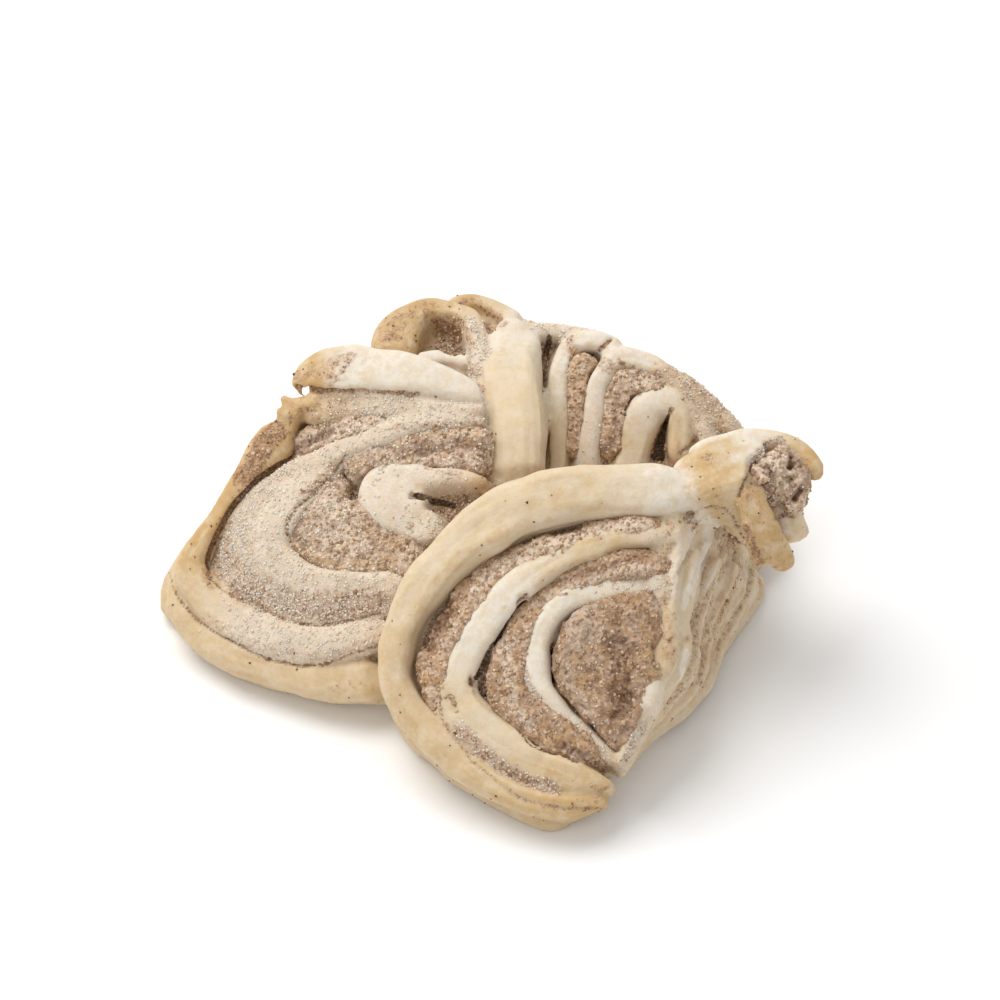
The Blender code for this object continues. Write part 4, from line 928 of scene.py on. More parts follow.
# Streaks along the strips: length, width and how far they stand out on plain and on layered dough,
# in millimetres, and how near to the layered finish a finish has to come
STREAK_SIZE = (11.0, 0.8)
STREAK_SEED = 7
PLAIN_STREAKS = 0.07
LAYERED_STREAKS = 0.16
LAYERED_SPREAD = 0.05

# Slow drifts of the dough's surface: size and amount in millimetres, and seed
DRIFTS = ((9.0, 0.45, 20), (3.6, 0.22, 24))

# Hollows deeper than this are painted brown as painted shade, over so many millimetres more, by so much for
# each of them
BROWN_HOLLOW = 0.25
BROWN_HOLLOW_SPAN = 0.5
BROWN_HOLLOW_GAIN = 1.2

# How many times values are averaged over their neighbours, and what a vertex keeps of its own
OWN_SHARE = 0.4
HOLLOW_ROUNDS = 14
PIT_ROUNDS = 4
FINISH_ROUNDS = 6
GRAIN_ROUNDS = 2
CREST_ROUNDS = 24

# How strongly and how many times the fresh skins are smoothed, and how much a pit of a millimetre
# adds to the value that the materials read as painted shade
SMOOTH_FACTOR = 0.5
DOUGH_SMOOTHING = 4
FILLING_SMOOTHING = 2
DOUGH_PITS = 1.2
FILLING_PITS = 1.0

# Round the front lobe's fold ridge the dough is softened. The share of it falls by 1 over the reach
# in millimetres, from a start over 1 that keeps it whole near the ridge.
CREST_REACH = 3.6
CREST_START = 1.3

# Large odd numbers that mix a cell's place and seed into a random value
CELL_FACTORS = np.array((73856093, 19349663, 83492791))
SEED_FACTOR = 2654435761
MIX_FACTOR = 1274126177


# Noise and meshes

def lattice(cells, seed):
    """A random value from 0 to 1 for each cell of whole numbers."""
    mixed = cells.astype(np.int64) @ CELL_FACTORS + seed * SEED_FACTOR
    mixed = (mixed ^ (mixed >> 13)) * MIX_FACTOR
    mixed = mixed ^ (mixed >> 16)
    return (mixed & 0xFFFF) / 65535.0


def eased(share):
    """A share from 0 to 1 that starts and ends gently."""
    return share * share * (3 - 2 * share)


def noise(points, size, seed):
    """Smooth random values from -1 to 1 that change over about the given size."""
    scaled = points / size
    base = np.floor(scaled)
    part = eased(scaled - base)
    total = np.zeros(len(points))
    for corner in np.ndindex(2, 2, 2):
        weight = np.prod(np.where(corner, part, 1 - part), axis=1)
        total += weight * lattice(base + corner, seed)
    return 2 * total - 1


def relief_of(points, layers, start=0.0):
    """Layers of noise on top of one another, each by its amount, size and seed."""
    return sum((amount * noise(points, size, seed) for amount, size, seed in layers), start)


def wander(points, size, amount, seed):
    """Points moved about by a slow random drift, so that nothing runs quite true."""
    drift = np.column_stack([noise(points, size, seed + axis) for axis in range(3)])
    return points + amount * drift


def linked(name, data):
    """A new object in the scene."""
    thing = bpy.data.objects.new(name, data)
    bpy.context.scene.collection.objects.link(thing)
    return thing


def new_object(name, shape):
    """A mesh object in the frame's metres from a shape in the bun's millimetres."""
    mesh = bpy.data.meshes.new(name)
    mesh.from_pydata(((np.array(shape.vertices) - MIDDLE) * MM).tolist(), [], shape.faces)
    mesh.update()
    return linked(name, mesh)


def rework(thing, kind, **settings):
    """Runs one modifier on an object and keeps the result as its mesh."""
    modifier = thing.modifiers.new(kind, kind)
    for name, value in settings.items():
        setattr(modifier, name, value)
    view = bpy.context.evaluated_depsgraph_get()
    mesh = bpy.data.meshes.new_from_object(thing.evaluated_get(view))
    thing.modifiers.clear()
    old = thing.data
    thing.data = mesh
    bpy.data.meshes.remove(old)
    mesh.name = thing.name


def fuse(thing, voxel):
    """Makes one skin of the overlapping surfaces of an object."""
    rework(thing, "REMESH", mode="VOXEL", voxel_size=voxel * MM)


def smooth(thing, rounds):
    """Evens out the steps that fusing leaves."""
    rework(thing, "SMOOTH", factor=SMOOTH_FACTOR, iterations=rounds)


def surface(thing):
    """What finds the places of an object's surface along a ray."""
    return BVHTree.FromObject(thing, bpy.context.evaluated_depsgraph_get())


def finder(places):
    """What finds the nearest of some places, which are pairs of an index and a point."""
    near = KDTree(len(places))
    for index, point in places:
        near.insert(point, index)
    near.balance()
    return near


def read(items, name, width, kind=np.float32):
    """One row of values for each vertex, edge or triangle of a mesh."""
    values = np.empty(len(items) * width, kind)
    items.foreach_get(name, values)
    return values.reshape(-1, width)


def line_seen(tree, points, step):
    """The places on a surface that are seen along a line of the picture, a step in millimetres apart."""
    corners = np.array(points, dtype=float)
    seen_at = np.column_stack(((corners[:, 0] - IMAGE_PIXELS / 2) / PIXELS_PER_MM,
                               (IMAGE_PIXELS / 2 - corners[:, 1]) / PIXELS_PER_MM))
    run = run_along(seen_at)
    wanted = np.linspace(0.0, run[-1], int(run[-1] / step) + 1)
    places = []
    for right, up in zip(np.interp(wanted, run, seen_at[:, 0]), np.interp(wanted, run, seen_at[:, 1])):
        start = np.array((right, 0.0, 0.0)) + PICTURE_UP * up + TOWARDS_CAMERA * CAST_DISTANCE
        hit = tree.ray_cast(Vector((start - MIDDLE) * MM), Vector(-TOWARDS_CAMERA))
        if hit[0] is not None:
            places.append(np.array(hit[0]) / MM + MIDDLE)
    return np.array(places).reshape(-1, 3)


def slit(tree, width, depth, points):
    """The form that is cut away for a slit in a surface, seen along a line of the picture."""
    path = line_seen(tree, points, SLIT_STEP) + TOWARDS_CAMERA * SLIT_HEAD
    line = smooth_curve(np.column_stack((path, np.full(len(path), width))), SLIT_RINGS)
    return sweep(line, [TOWARDS_CAMERA] * len(line), depth + SLIT_HEAD, "groove", upright=True)


class Skin:
    """A mesh's vertices as an array in the bun's millimetres, with what a sculptor needs to work on them."""

    def __init__(self, thing):
        self.thing = thing
        mesh = thing.data
        self.points = read(mesh.vertices, "co", 3).astype(float) / MM + MIDDLE
        self.edges = read(mesh.edges, "vertices", 2, np.int32)
        self.degree = np.bincount(self.edges.ravel(), minlength=len(mesh.vertices))

    def normals(self):
        """The vertex normals of the points as they are now."""
        self.store()
        return read(self.thing.data.vertices, "normal", 3).astype(float)

    def raised(self, heights):
        """The points moved along their normals by a height each."""
        return self.points + self.normals() * heights[:, None]

    def softened(self, values, rounds):
        """Rows of values on the vertices, averaged over their neighbours a number of times."""
        first, second = self.edges.T
        for _ in range(rounds):
            total = np.column_stack([np.bincount(first, values[second, column], len(values))
                                     + np.bincount(second, values[first, column], len(values))
                                     for column in range(values.shape[1])])
            values = OWN_SHARE * values + (1 - OWN_SHARE) * total / self.degree[:, None]
        return values

    def store(self):
        """Writes the points back into the mesh, held inside the solids' own box."""
        metres = np.clip((self.points - MIDDLE) * MM, cad_box[0], cad_box[1])
        self.thing.data.vertices.foreach_set("co", metres.astype(np.float32).ravel())
        self.thing.data.update()

    def draw(self, tree, lines, channels, values):
        """Lays drawn lines on the vertices' values, and gives the relief that they add."""
        near = finder(list(enumerate(self.points)))
        ragged = relief_of(self.points, RAGGED_EDGES, 1.0)
        relief = np.zeros(len(self.points))
        for channel, amount, reach, rise, points in lines:
            closest = {}
            for place in line_seen(tree, points, DRAWN_STEP):
                for _, index, away in near.find_range(place, reach * SEARCH_SHARE):
                    closest[index] = min(away, closest.get(index, away))
            if not closest:
                continue
            which = np.fromiter(closest, int)
            away = np.fromiter(closest.values(), float) * ragged[which] / reach
            share = eased(np.clip(LINE_FADE - LINE_FADE * away, 0.0, 1.0))
            column = channels.index(channel)
            values[which, column] = np.maximum(values[which, column], amount * share)
            relief[which] += rise * share
        return relief

    def attribute(self, name, values):
        """Keeps a value for each vertex, which the materials read."""
        layer = self.thing.data.attributes.new(name, "FLOAT", "POINT")
        layer.data.foreach_set("value", np.clip(values, 0.0, 1.0).astype(np.float32))

    def hollowness(self, rounds):
        """How far each vertex lies below its surroundings, in millimetres."""
        return np.einsum("ij,ij->i", self.softened(self.points, rounds) - self.points, self.normals())


# Pieces

def carve(thing, tree):
    """Cuts the dough's open holes and its slits."""
    hollows = Shape()
    for face, points, depth in HOLES:
        hollows.add(band(face, points, depth, "groove"))
    for width, depth, points in SLITS:
        hollows.add(slit(tree, width, depth, points))
    cutter = new_object("hollows", hollows)
    fuse(cutter, CUTTER_VOXEL)
    rework(thing, "BOOLEAN", operation="DIFFERENCE", solver="MANIFOLD", object=cutter)
    bpy.data.objects.remove(cutter)


def soften_crest(skin):
    """Softens the dough along the front lobe's fold ridge."""
    curve = smooth_curve([(*point, 0.0) for point in RIDGE], CREST_PLACES)
    crest = [FRONT.place(right, up) for right, up, _ in curve]
    away = np.min([np.linalg.norm(skin.points - place, axis=1) for place in crest], axis=0)
    share = np.clip(CREST_START - away / CREST_REACH, 0.0, 1.0)[:, None]
    skin.points = skin.points * (1 - share) + skin.softened(skin.points, CREST_ROUNDS) * share


def painted(skin, whole, tree):
    """The finish and the grain of a skin's vertices, taken from the nearest strip that shows."""
    outer = [(index, vertex) for index, vertex in enumerate(whole.vertices)
             if tree.find_nearest(Vector((vertex - MIDDLE) * MM))[3] < HIDDEN_DEPTH * MM]
    near = finder(outer)
    nearest = np.array([near.find(point)[1] for point in skin.points])
    return (skin.softened(np.array(whole.finish)[nearest], FINISH_ROUNDS),
            skin.softened(np.array(whole.grain)[nearest], GRAIN_ROUNDS))


def make_dough():
    """The dough as one fine skin with its finish painted on the vertices, and that finish."""
    whole = Shape()
    for part in left_lobe() + front_lobe() + back_lobe() + back_folds() + right_curl() + back_curls():
        whole.add(part)
    thing = new_object("dough_skin", whole)
    fuse(thing, DOUGH_VOXEL)
    tree = surface(thing)
    carve(thing, tree)
    smooth(thing, DOUGH_SMOOTHING)
    skin = Skin(thing)
    soften_crest(skin)
    finish, grain = painted(skin, whole, tree)
    drawn = skin.draw(surface(thing), DOUGH_LINES, CHANNELS, finish)
    hollow = skin.hollowness(HOLLOW_ROUNDS)
    sugared, golden, brown, floury = finish.T
    layered = np.exp(-((finish - FINISHES["layered"]) ** 2).sum(axis=1) / LAYERED_SPREAD)
    # Painted shade: the dough is painted browner the deeper it lies in a hollow
    deep = np.clip(hollow - BROWN_HOLLOW, 0.0, BROWN_HOLLOW_SPAN)
    brown = np.clip(brown + BROWN_HOLLOW_GAIN * deep, 0.0, 1.0)
    streaks = noise(np.column_stack((grain / STREAK_SIZE, np.zeros(len(grain)))), 1.0, STREAK_SEED)
    raise_by = (relief_of(skin.points, BROAD_RELIEF) + drawn
                + sugared * relief_of(skin.points, SUGARED_RELIEF)
                + brown * relief_of(skin.points, BROWN_RELIEF)
                + (PLAIN_STREAKS * (1 - sugared) + LAYERED_STREAKS * layered) * streaks)
    for size, amount, seed in DRIFTS:
        skin.points = wander(skin.points, size, amount, seed)
    skin.points = skin.raised(raise_by)
    skin.store()
    for name, values in zip(CHANNELS, (sugared, golden, brown, floury)):
        skin.attribute(name, values)
    skin.attribute("streaks", 0.5 + 0.5 * streaks)
    # Painted shade: the dough's material darkens it by how deep it lies in a pit
    skin.attribute("pits", 0.5 + DOUGH_PITS * skin.hollowness(PIT_ROUNDS))
    thing.data.shade_smooth()
    return thing, finish


def make_filling(name, face, points, depth):
    """One layer of filling, crumbly where it shows, and how dark each of its vertices is."""
    lean = FILLING_LEAN.get(name, 0.0)
    wider = [(right, up, width + FILLING_OVERLAP, lift) for right, up, width, lift in points]
    shape = band(face, wider, depth, "groove", FILLING_FLOOR, lean, FILLING_SQUARENESS)
    thing = new_object(name + "_crumb", shape)
    fuse(thing, FILLING_VOXEL)
    smooth(thing, FILLING_SMOOTHING)
    skin = Skin(thing)
    values = np.tile(FILLING_TINT[name], (len(skin.points), 1))
    drawn = skin.draw(surface(thing), FILLING_LINES, FILLING_CHANNELS, values)
    raise_by = relief_of(skin.points, FILLING_RELIEF) + drawn
    pores = np.clip(PORE_STEEPNESS * noise(skin.points, PORE_SIZE, PORE_SEED) - PORE_START, 0.0, 1.0)
    raise_by -= FILLING_PORES.get(name, PLAIN_PORES) * pores
    skin.points = skin.raised(raise_by)
    skin.store()
    for channel, column in zip(FILLING_CHANNELS, values.T):
        skin.attribute(channel, column)
    # Painted shade: the filling's material darkens it by how deep it lies in a pit
    skin.attribute("pits", 0.5 + FILLING_PITS * skin.hollowness(PIT_ROUNDS))
    thing.data.shade_smooth()
    return thing, values[:, FILLING_CHANNELS.index("dark")]


# Grains

# Where grains lie: at least so high over the ground, with so much free space over them, in
# millimetres. More places are tried than are wanted, from just over the surface.
SPOT_HEIGHT = 0.4
SPOT_ROOM = 1.2
SPOT_LIFT = 0.15
SPOT_SURPLUS = 3

# A crystal is an uneven cube
CUBE = np.array([(x, y, z) for x in (-1, 1) for y in (-1, 1) for z in (-1, 1)]) * 0.5
CUBE_FACES = np.array(((0, 1, 3, 2), (4, 6, 7, 5), (0, 4, 5, 1), (2, 3, 7, 6), (0, 2, 6, 4), (1, 5, 7, 3)))
UNEVENNESS = 0.25


def shown_spots(things, count, wanted, seed):
    """Random places on the outside of some pieces, with their normals, in the frame's metres.

    wanted gives for a piece's index and its faces' vertices how likely each face is to be picked.
    """
    random = np.random.RandomState(seed)
    trees = [surface(thing) for thing in things]
    corners = []
    chances = []
    for number, thing in enumerate(things):
        mesh = thing.data
        mesh.calc_loop_triangles()
        triangles = read(mesh.loop_triangles, "vertices", 3, np.int32)
        points = read(mesh.vertices, "co", 3)[triangles].astype(float)
        area = np.linalg.norm(np.cross(points[:, 1] - points[:, 0], points[:, 2] - points[:, 0]), axis=1)
        corners.append(points)
        chances.append(area * wanted(number, triangles))
    corners = np.concatenate(corners)
    chances = np.concatenate(chances)
    picked = corners[random.choice(len(corners), count * SPOT_SURPLUS, p=chances / chances.sum())]
    shares = random.dirichlet((1.0, 1.0, 1.0), len(picked))
    places = np.einsum("ij,ijk->ik", shares, picked)
    normals = unit(np.cross(picked[:, 1] - picked[:, 0], picked[:, 2] - picked[:, 0]))
    kept = []
    for index, (place, normal) in enumerate(zip(places, normals)):
        if place[2] <= SPOT_HEIGHT * MM:
            continue
        start = Vector(place + normal * SPOT_LIFT * MM)
        if any(tree.ray_cast(start, Vector(normal), SPOT_ROOM * MM)[0] for tree in trees):
            continue
        kept.append(index)
        if len(kept) == count:
            break
    return places[kept], normals[kept]


def turned(count, random):
    """Random rotations."""
    w, x, y, z = unit(random.normal(size=(count, 4))).T
    return np.stack((np.stack((1 - 2 * (y * y + z * z), 2 * (x * y - z * w), 2 * (x * z + y * w)), 1),
                     np.stack((2 * (x * y + z * w), 1 - 2 * (x * x + z * z), 2 * (y * z - x * w)), 1),
                     np.stack((2 * (x * z - y * w), 2 * (y * z + x * w), 1 - 2 * (x * x + y * y)), 1)), 1)


def scatter(name, places, normals, sizes, stretch, sink, seed):
    """One mesh of many small turned crystals, each with its own tone.

    stretch is how much their three sizes differ, and sink is the share of them that is sunk in.
    """
    random = np.random.RandomState(seed)
    count = len(places)
    scales = sizes[:, None] * random.uniform(1 - stretch, 1 + stretch, (count, 3))
    uneven = 1 + random.uniform(-UNEVENNESS, UNEVENNESS, (count, 8, 3))
    lumps = CUBE[None] * uneven * scales[:, None, :] * MM
    lumps = np.einsum("nij,nvj->nvi", turned(count, random), lumps)
    lumps += (places + normals * (sizes * (0.5 - sink))[:, None] * MM)[:, None, :]
    lumps = np.clip(lumps, cad_box[0], cad_box[1])
    faces = (CUBE_FACES[None] + 8 * np.arange(count)[:, None, None]).reshape(-1, 4)
    mesh = bpy.data.meshes.new(name)
    mesh.vertices.add(count * 8)
    mesh.vertices.foreach_set("co", lumps.astype(np.float32).ravel())
    mesh.loops.add(faces.size)
    mesh.loops.foreach_set("vertex_index", faces.astype(np.int32).ravel())
    mesh.polygons.add(len(faces))
    mesh.polygons.foreach_set("loop_start", np.arange(0, faces.size, 4, dtype=np.int32))
    mesh.update(calc_edges=True)
    tone = mesh.attributes.new("tone", "FLOAT", "POINT")
    tone.data.foreach_set("value", np.repeat(random.uniform(0, 1, count), 8).astype(np.float32))
    return linked(name, mesh)


# Materials

class Nodes:
    """Short calls that build a material's node tree; places in it are in millimetres."""

    def __init__(self, name):
        self.material = bpy.data.materials.new(name)
        self.material.use_nodes = True
        self.tree = self.material.node_tree
        self.shader = self.tree.nodes["Principled BSDF"]
        where = self.tree.nodes.new("ShaderNodeTexCoord")
        scale = self.tree.nodes.new("ShaderNodeVectorMath")
        scale.operation = "SCALE"
        scale.inputs["Scale"].default_value = 1 / MM
        self.tree.links.new(where.outputs["Object"], scale.inputs[0])
        self.place = scale.outputs[0]

    def put(self, socket, value):
        """Sets a socket to a number or colour, or links it."""
        if isinstance(value, bpy.types.NodeSocket):
            self.tree.links.new(value, socket)
        else:
            socket.default_value = value

    def attribute(self, name):
        """A value that the mesh keeps for each vertex."""
        node = self.tree.nodes.new("ShaderNodeAttribute")
        node.attribute_name = name
        return node.outputs["Fac"]

    def noise(self, size, detail=2.0, roughness=0.5):
        """Cloudy noise of a size in millimetres."""
        node = self.tree.nodes.new("ShaderNodeTexNoise")
        self.put(node.inputs["Vector"], self.place)
        node.inputs["Scale"].default_value = 1 / size
        node.inputs["Detail"].default_value = detail
        node.inputs["Roughness"].default_value = roughness
        return node.outputs["Fac"]

    def cells(self, size, output="Distance"):
        """Cells of a size in millimetres: the distance to the nearest, or a random colour for each."""
        node = self.tree.nodes.new("ShaderNodeTexVoronoi")
        self.put(node.inputs["Vector"], self.place)
        node.inputs["Scale"].default_value = 1 / size
        return node.outputs[output]

    def part(self, colour, channel):
        """One channel of a colour."""
        node = self.tree.nodes.new("ShaderNodeSeparateColor")
        self.put(node.inputs[0], colour)
        return node.outputs[channel]

    def math(self, operation, first, second, held=True):
        """A sum on two values, held from 0 to 1 unless said otherwise."""
        node = self.tree.nodes.new("ShaderNodeMath")
        node.operation = operation
        node.use_clamp = held
        self.put(node.inputs[0], first)
        self.put(node.inputs[1], second)
        return node.outputs[0]

    def sum(self, first, second):
        """Two values added, not held."""
        return self.math("ADD", first, second, held=False)

    def times(self, first, second):
        """The product of two values, held from 0 to 1."""
        return self.math("MULTIPLY", first, second)

    def span(self, value, low, high, new_low=0.0, new_high=1.0):
        """A value read from one range and given in another, held inside it."""
        node = self.tree.nodes.new("ShaderNodeMapRange")
        node.interpolation_type = "SMOOTHSTEP"
        node.inputs["From Min"].default_value = low
        node.inputs["From Max"].default_value = high
        node.inputs["To Min"].default_value = new_low
        node.inputs["To Max"].default_value = new_high
        self.put(node.inputs["Value"], value)
        return node.outputs["Result"]

    def mix(self, share, first, second):
        """One colour laid over another by a share."""
        node = self.tree.nodes.new("ShaderNodeMix")
        node.data_type = "RGBA"
        self.put(node.inputs["Factor"], share)
        self.put(node.inputs[6], first)
        self.put(node.inputs[7], second)
        return node.outputs[2]

    def bump(self, height, depth, under=None):
        """A relief of a depth in millimetres over another one."""
        node = self.tree.nodes.new("ShaderNodeBump")
        node.inputs["Strength"].default_value = 1.0
        node.inputs["Distance"].default_value = depth * MM
        self.put(node.inputs["Height"], height)
        if under is not None:
            self.put(node.inputs["Normal"], under)
        return node.outputs["Normal"]

    def glow(self, weight, radius, scale):
        """Lets light run under the surface; the scale is in millimetres."""
        self.shader.inputs["Subsurface Weight"].default_value = weight
        self.shader.inputs["Subsurface Radius"].default_value = radius
        self.shader.inputs["Subsurface Scale"].default_value = scale * MM


def seen(red, green, blue):
    """A linear colour from one as a screen shows it, 0 to 255."""
    def linear(value):
        value /= 255.0
        return value / 12.92 if value <= 0.04045 else ((value + 0.055) / 1.055) ** 2.4
    return (linear(red), linear(green), linear(blue), 1.0)


YELLOW_DOUGH = seen(214, 192, 147)
PALE_DOUGH = seen(220, 201, 170)
GOLD = seen(194, 156, 94)
FLOUR = seen(228, 219, 206)
STAIN_AND_SHADE = seen(178, 138, 100)
PINK_STAIN_AND_SHADE = seen(184, 150, 128)
# Cinnamon brown, also used for the painted shade in the dough's pits
CINNAMON_AND_SHADE = seen(156, 114, 78)
DARK_CINNAMON_AND_SHADE = seen(108, 73, 46)
SPECK = seen(118, 80, 52)
SAND_LIGHT = seen(238, 225, 210)
SAND_DARK = seen(207, 182, 159)
PINK_SAND = seen(204, 176, 157)
BROWN_CRUMB = seen(178, 142, 108)
LILAC_CRUMB = seen(192, 164, 142)
PALE_CRUMB = seen(232, 213, 192)
AMBER = seen(198, 157, 108)
DARK_CRUMB_AND_SHADE = seen(106, 72, 48)

# Sizes of the grain in the materials, in millimetres
SAND_SIZE = 0.28
CRUMB_SIZE = 0.45
SPECK_SPACING = 3.2


def dough_material():
    """Dough that turns golden, floury, sugared and cinnamon-brown by the mesh's values; the brown values and
    the pits also carry painted shade.
    """
    nodes = Nodes("raw_dough")
    sugared = nodes.attribute("sugared")
    brown = nodes.attribute("brown")
    floury = nodes.attribute("floury")
    colour = nodes.mix(nodes.span(nodes.noise(3.6, 4.0, 0.6), 0.38, 0.62), YELLOW_DOUGH, PALE_DOUGH)
    # Gold and flour, in patches and along the streaks
    gold_share = nodes.times(nodes.attribute("golden"),
                             nodes.span(nodes.noise(2.2, 4.0, 0.65), 0.36, 0.6, 0.35, 1.0))
    gold_share = nodes.math("ADD", gold_share, nodes.span(nodes.attribute("streaks"), 0.5, 1.0, 0.0, 0.3))
    colour = nodes.mix(gold_share, colour, GOLD)
    flour_share = nodes.times(nodes.span(floury, 0.0, 1.0, 0.12, 1.0),
                              nodes.span(nodes.noise(1.3, 5.0, 0.7), 0.4, 0.6, 0.6, 1.0))
    colour = nodes.mix(flour_share, colour, FLOUR)
    # Sugar, as a fine sand of light and dark grains
    grain = nodes.cells(SAND_SIZE, "Color")
    sand = nodes.mix(nodes.part(grain, "Red"), SAND_DARK, SAND_LIGHT)
    sand = nodes.mix(nodes.span(nodes.noise(2.4, 3.0), 0.45, 0.65, 0.0, 0.7), sand, PINK_SAND)
    colour = nodes.mix(nodes.times(sugared, 0.65), colour, sand)
    # Cinnamon, and the painted shade that the brown values carry: a stain with ragged edges, and grains
    # where it is strong
    dark = nodes.mix(nodes.span(nodes.noise(0.7, 3.0), 0.35, 0.65), DARK_CINNAMON_AND_SHADE, CINNAMON_AND_SHADE)
    dark = nodes.mix(nodes.span(nodes.part(grain, "Green"), 0.5, 1.0, 0.0, 0.8), dark, LILAC_CRUMB)
    ragged = nodes.span(nodes.noise(0.9, 4.0, 0.7), 0.3, 0.7, -0.3, 0.3)
    stain_and_shade = nodes.span(nodes.sum(brown, ragged), 0.1, 1.0, 0.0, 0.75)
    colour = nodes.mix(stain_and_shade, colour, nodes.mix(sugared, STAIN_AND_SHADE, PINK_STAIN_AND_SHADE))
    speckled = nodes.span(nodes.part(grain, "Blue"), 0.0, 1.0, -0.3, 0.3)
    brown_share = nodes.sum(brown, nodes.sum(ragged, speckled))
    colour = nodes.mix(nodes.span(brown_share, 0.55, 1.05, 0.0, 0.85), colour, dark)
    # Painted shade in the pits, and single specks
    colour = nodes.mix(nodes.span(nodes.attribute("pits"), 0.62, 0.95, 0.0, 0.5), colour, CINNAMON_AND_SHADE)
    spots = nodes.times(nodes.span(nodes.cells(SPECK_SPACING), 0.03, 0.08, 1.0, 0.0),
                        nodes.span(nodes.part(nodes.cells(SPECK_SPACING, "Color"), "Blue"), 0.6, 0.7))
    colour = nodes.mix(nodes.times(spots, 0.6), colour, SPECK)
    nodes.put(nodes.shader.inputs["Base Color"], colour)
    nodes.put(nodes.shader.inputs["Roughness"], nodes.span(floury, 0.0, 1.0, 0.5, 0.8))
    relief = nodes.bump(nodes.noise(1.1, 4.0, 0.6), 0.10)
    relief = nodes.bump(nodes.noise(0.35, 3.0, 0.6), 0.06, relief)
    rough = nodes.times(nodes.cells(SAND_SIZE), nodes.math("MAXIMUM", sugared, brown))
    nodes.put(nodes.shader.inputs["Normal"], nodes.bump(rough, 0.12, relief))
    nodes.glow(0.45, (1.0, 0.6, 0.32), 1.3)
    nodes.shader.inputs["Specular IOR Level"].default_value = 0.35
    return nodes.material


def filling_material():
    """Crumbly sugar and cinnamon that turns pale, amber and dark by the mesh's values; the dark values and
    the pits also carry painted shade.
    """
    nodes = Nodes("cinnamon_filling")
    grains = nodes.cells(CRUMB_SIZE, "Color")
    speckled = nodes.span(nodes.part(grains, "Blue"), 0.0, 1.0, 0.3, 1.0)
    base = nodes.mix(nodes.span(nodes.noise(3.2, 4.0, 0.6), 0.4, 0.6), BROWN_CRUMB, LILAC_CRUMB)
    for share, colour in (
            (nodes.span(nodes.noise(2.0, 3.0, 0.6), 0.54, 0.66, 0.0, 0.7), AMBER),
            (nodes.times(nodes.attribute("amber"), speckled), AMBER),
            (nodes.times(nodes.attribute("pale"), speckled), PALE_CRUMB),
            (nodes.span(nodes.part(grains, "Red"), 0.55, 0.95, 0.0, 0.5), PALE_CRUMB),
            # Darker crumbs, and painted shade where the dark values lie under the rim, at the notch and in
            # the groove
            (nodes.times(nodes.attribute("dark"), speckled), DARK_CRUMB_AND_SHADE),
            (nodes.span(nodes.part(grains, "Green"), 0.65, 0.95, 0.0, 0.5), DARK_CRUMB_AND_SHADE),
            # Painted shade in the pits
            (nodes.span(nodes.attribute("pits"), 0.52, 0.85, 0.0, 0.75), DARK_CINNAMON_AND_SHADE)):
        base = nodes.mix(share, base, colour)
    nodes.put(nodes.shader.inputs["Base Color"], base)
    nodes.shader.inputs["Roughness"].default_value = 0.65
    relief = nodes.bump(nodes.cells(CRUMB_SIZE), 0.16)
    nodes.put(nodes.shader.inputs["Normal"], nodes.bump(nodes.noise(0.25, 2.0), 0.05, relief))
    nodes.glow(0.35, (1.0, 0.55, 0.3), 0.7)
    return nodes.material


def grain_material(name, dark, light, roughness, glow):
    """Crystals that go from a dark to a light tone, each by its own value."""
    nodes = Nodes(name)
    nodes.put(nodes.shader.inputs["Base Color"], nodes.mix(nodes.attribute("tone"), dark, light))
    nodes.shader.inputs["Roughness"].default_value = roughness
    nodes.glow(glow, (1.0, 0.8, 0.6), 0.5)
    nodes.shader.inputs["Specular IOR Level"].default_value = 0.2
    return nodes.material


# Building

# The loose grains. chance: the dough's channel that they follow, how likely they lie on the
# filling, the least chance on the dough, and the power that the channel is raised to. Their sizes
# are in millimetres. look: the material's name, dark and light tone, roughness and glow.
SIZE_SEED = 5
GRAINS = (
    {"name": "sugar_grains", "slot": "dough", "count": 15000, "chance": ("sugared", 0.3, 0.0, 3.0),
     "sizes": (0.16, 0.34), "stretch": 0.2, "sink": 0.62, "seeds": (1, 2),
     "look": ("sugar_crystals", seen(216, 193, 168), seen(241, 226, 207), 0.6, 0.5)},
    {"name": "filling_grains", "slot": "filling", "count": 13000, "chance": ("brown", 1.0, 0.0, 7.0),
     "sizes": (0.2, 0.46), "stretch": 0.35, "sink": 0.5, "seeds": (3, 4),
     "look": ("brown_sugar", seen(158, 122, 92), seen(212, 186, 158), 0.6, 0.35)},
    {"name": "cinnamon_specks", "slot": "filling", "count": 420, "chance": ("golden", 0.1, 0.05, 2.0),
     "sizes": (0.12, 0.28), "stretch": 0.4, "sink": 0.55, "seeds": (6, 7),
     "look": ("ground_cinnamon", seen(98, 66, 44), seen(156, 112, 74), 0.7, 0.1)},
)

# Sugar is scarce on the filling outside the left lobe, and few grains lie on its dark stretches
SCARCE_SUGAR = 0.1
DARK_BARENESS = 0.85

# Lamps of the studio: name, place in metres, size, power and colour
LAMPS = (
    ("key", (-0.42, 0.36, 0.96), 0.8, 9.2, (1.0, 0.99, 0.975)),
    ("fill", (-0.35, -0.9, 0.8), 0.9, 1.5, (1.0, 1.0, 1.0)),
)
FLOOR_SIZE = 6.0
PAPER = (0.93, 0.93, 0.93, 1.0)
WHITE = (1.0, 1.0, 1.0, 1.0)
WORLD_STRENGTH = 0.60


def dress(thing, material, slot, *nodes):
    """Gives a piece its material and its body, and hides the solids that it stands for."""
    thing.data.materials.clear()
    thing.data.materials.append(material)
    if nodes:
        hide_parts(*nodes)
    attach(thing, "root")


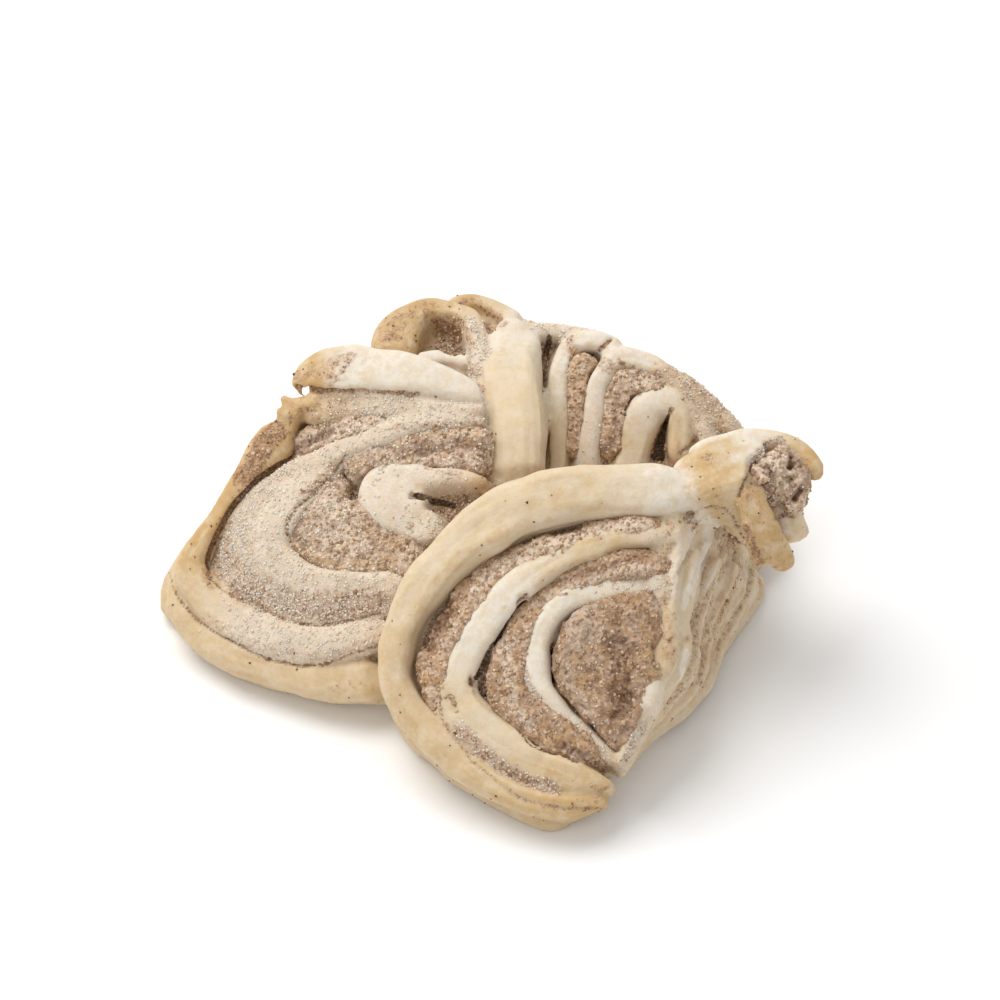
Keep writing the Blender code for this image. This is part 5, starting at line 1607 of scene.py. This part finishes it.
def grain_chance(finish, layers, channel, on_filling, least, power):
    """How likely a grain lies on each triangle: by a channel of the dough, or where a filling isn't dark."""
    values = finish[:, CHANNELS.index(channel)]

    def wanted(number, triangles):
        if number == 0:
            return np.clip(values[triangles].mean(axis=1) ** power, least, 1.0)
        layer, dark = layers[number - 1]
        scarce = channel == "sugared" and "left" not in layer.name
        covered = 1 - DARK_BARENESS * dark[triangles].mean(axis=1)
        return on_filling * covered * (SCARCE_SUGAR if scarce else 1.0)

    return wanted


def build_bun():
    """The dough, its layers of filling and the grains that lie on them."""
    dough, finish = make_dough()
    crumb = filling_material()
    layers = []
    for name, (face, points, depth) in fillings().items():
        layer, dark = make_filling(name, face, points, depth)
        dress(layer, crumb, "filling", name)
        layers.append((layer, dark))
    dress(dough, dough_material(), "dough", "dough")
    things = [dough] + [layer for layer, dark in layers]
    random = np.random.RandomState(SIZE_SEED)
    for kind in GRAINS:
        spot_seed, crystal_seed = kind["seeds"]
        chance = grain_chance(finish, layers, *kind["chance"])
        places, normals = shown_spots(things, kind["count"], chance, spot_seed)
        sizes = random.uniform(*kind["sizes"], len(places))
        grains = scatter(kind["name"], places, normals, sizes, kind["stretch"], kind["sink"], crystal_seed)
        dress(grains, grain_material(*kind["look"]), kind["slot"])


def build_stage():
    """A pale floor and soft studio light from the left and behind, with a fill from the front."""
    bpy.ops.mesh.primitive_plane_add(size=FLOOR_SIZE, location=(0.0, 0.0, 0.0))
    floor = bpy.context.object
    floor.name = "floor"
    paper = Nodes("white_paper")
    paper.shader.inputs["Base Color"].default_value = PAPER
    paper.shader.inputs["Roughness"].default_value = 0.9
    floor.data.materials.append(paper.material)
    world = bpy.data.worlds.new("studio")
    world.use_nodes = True
    world.node_tree.nodes["Background"].inputs["Color"].default_value = WHITE
    world.node_tree.nodes["Background"].inputs["Strength"].default_value = WORLD_STRENGTH
    bpy.context.scene.world = world
    for name, place, size, power, colour in LAMPS:
        lamp = bpy.data.lights.new(name, "AREA")
        lamp.energy = power
        lamp.size = size
        lamp.color = colour
        holder = linked(name, lamp)
        holder.location = place
        holder.rotation_euler = (-Vector(place)).to_track_quat("-Z", "Y").to_euler()


def build_camera():
    """A long lens at the photograph's elevation, aimed at what lies in the middle of the picture."""
    data = bpy.data.cameras.new("camera")
    data.sensor_width = SENSOR
    data.lens = SENSOR * CAMERA_DISTANCE / (IMAGE_PIXELS / PIXELS_PER_MM * MM)
    data.clip_end = CLIP_SHARE * CAMERA_DISTANCE
    camera = linked("camera", data)
    camera.location = Vector(-MIDDLE * MM) + CAMERA_DISTANCE * Vector(TOWARDS_CAMERA)
    camera.rotation_euler = (math.pi / 2 - VIEW_ELEVATION, 0.0, 0.0)
    bpy.context.scene.camera = camera


bpy.context.scene.view_settings.view_transform = "Standard"
build_camera()
build_stage()
build_bun()
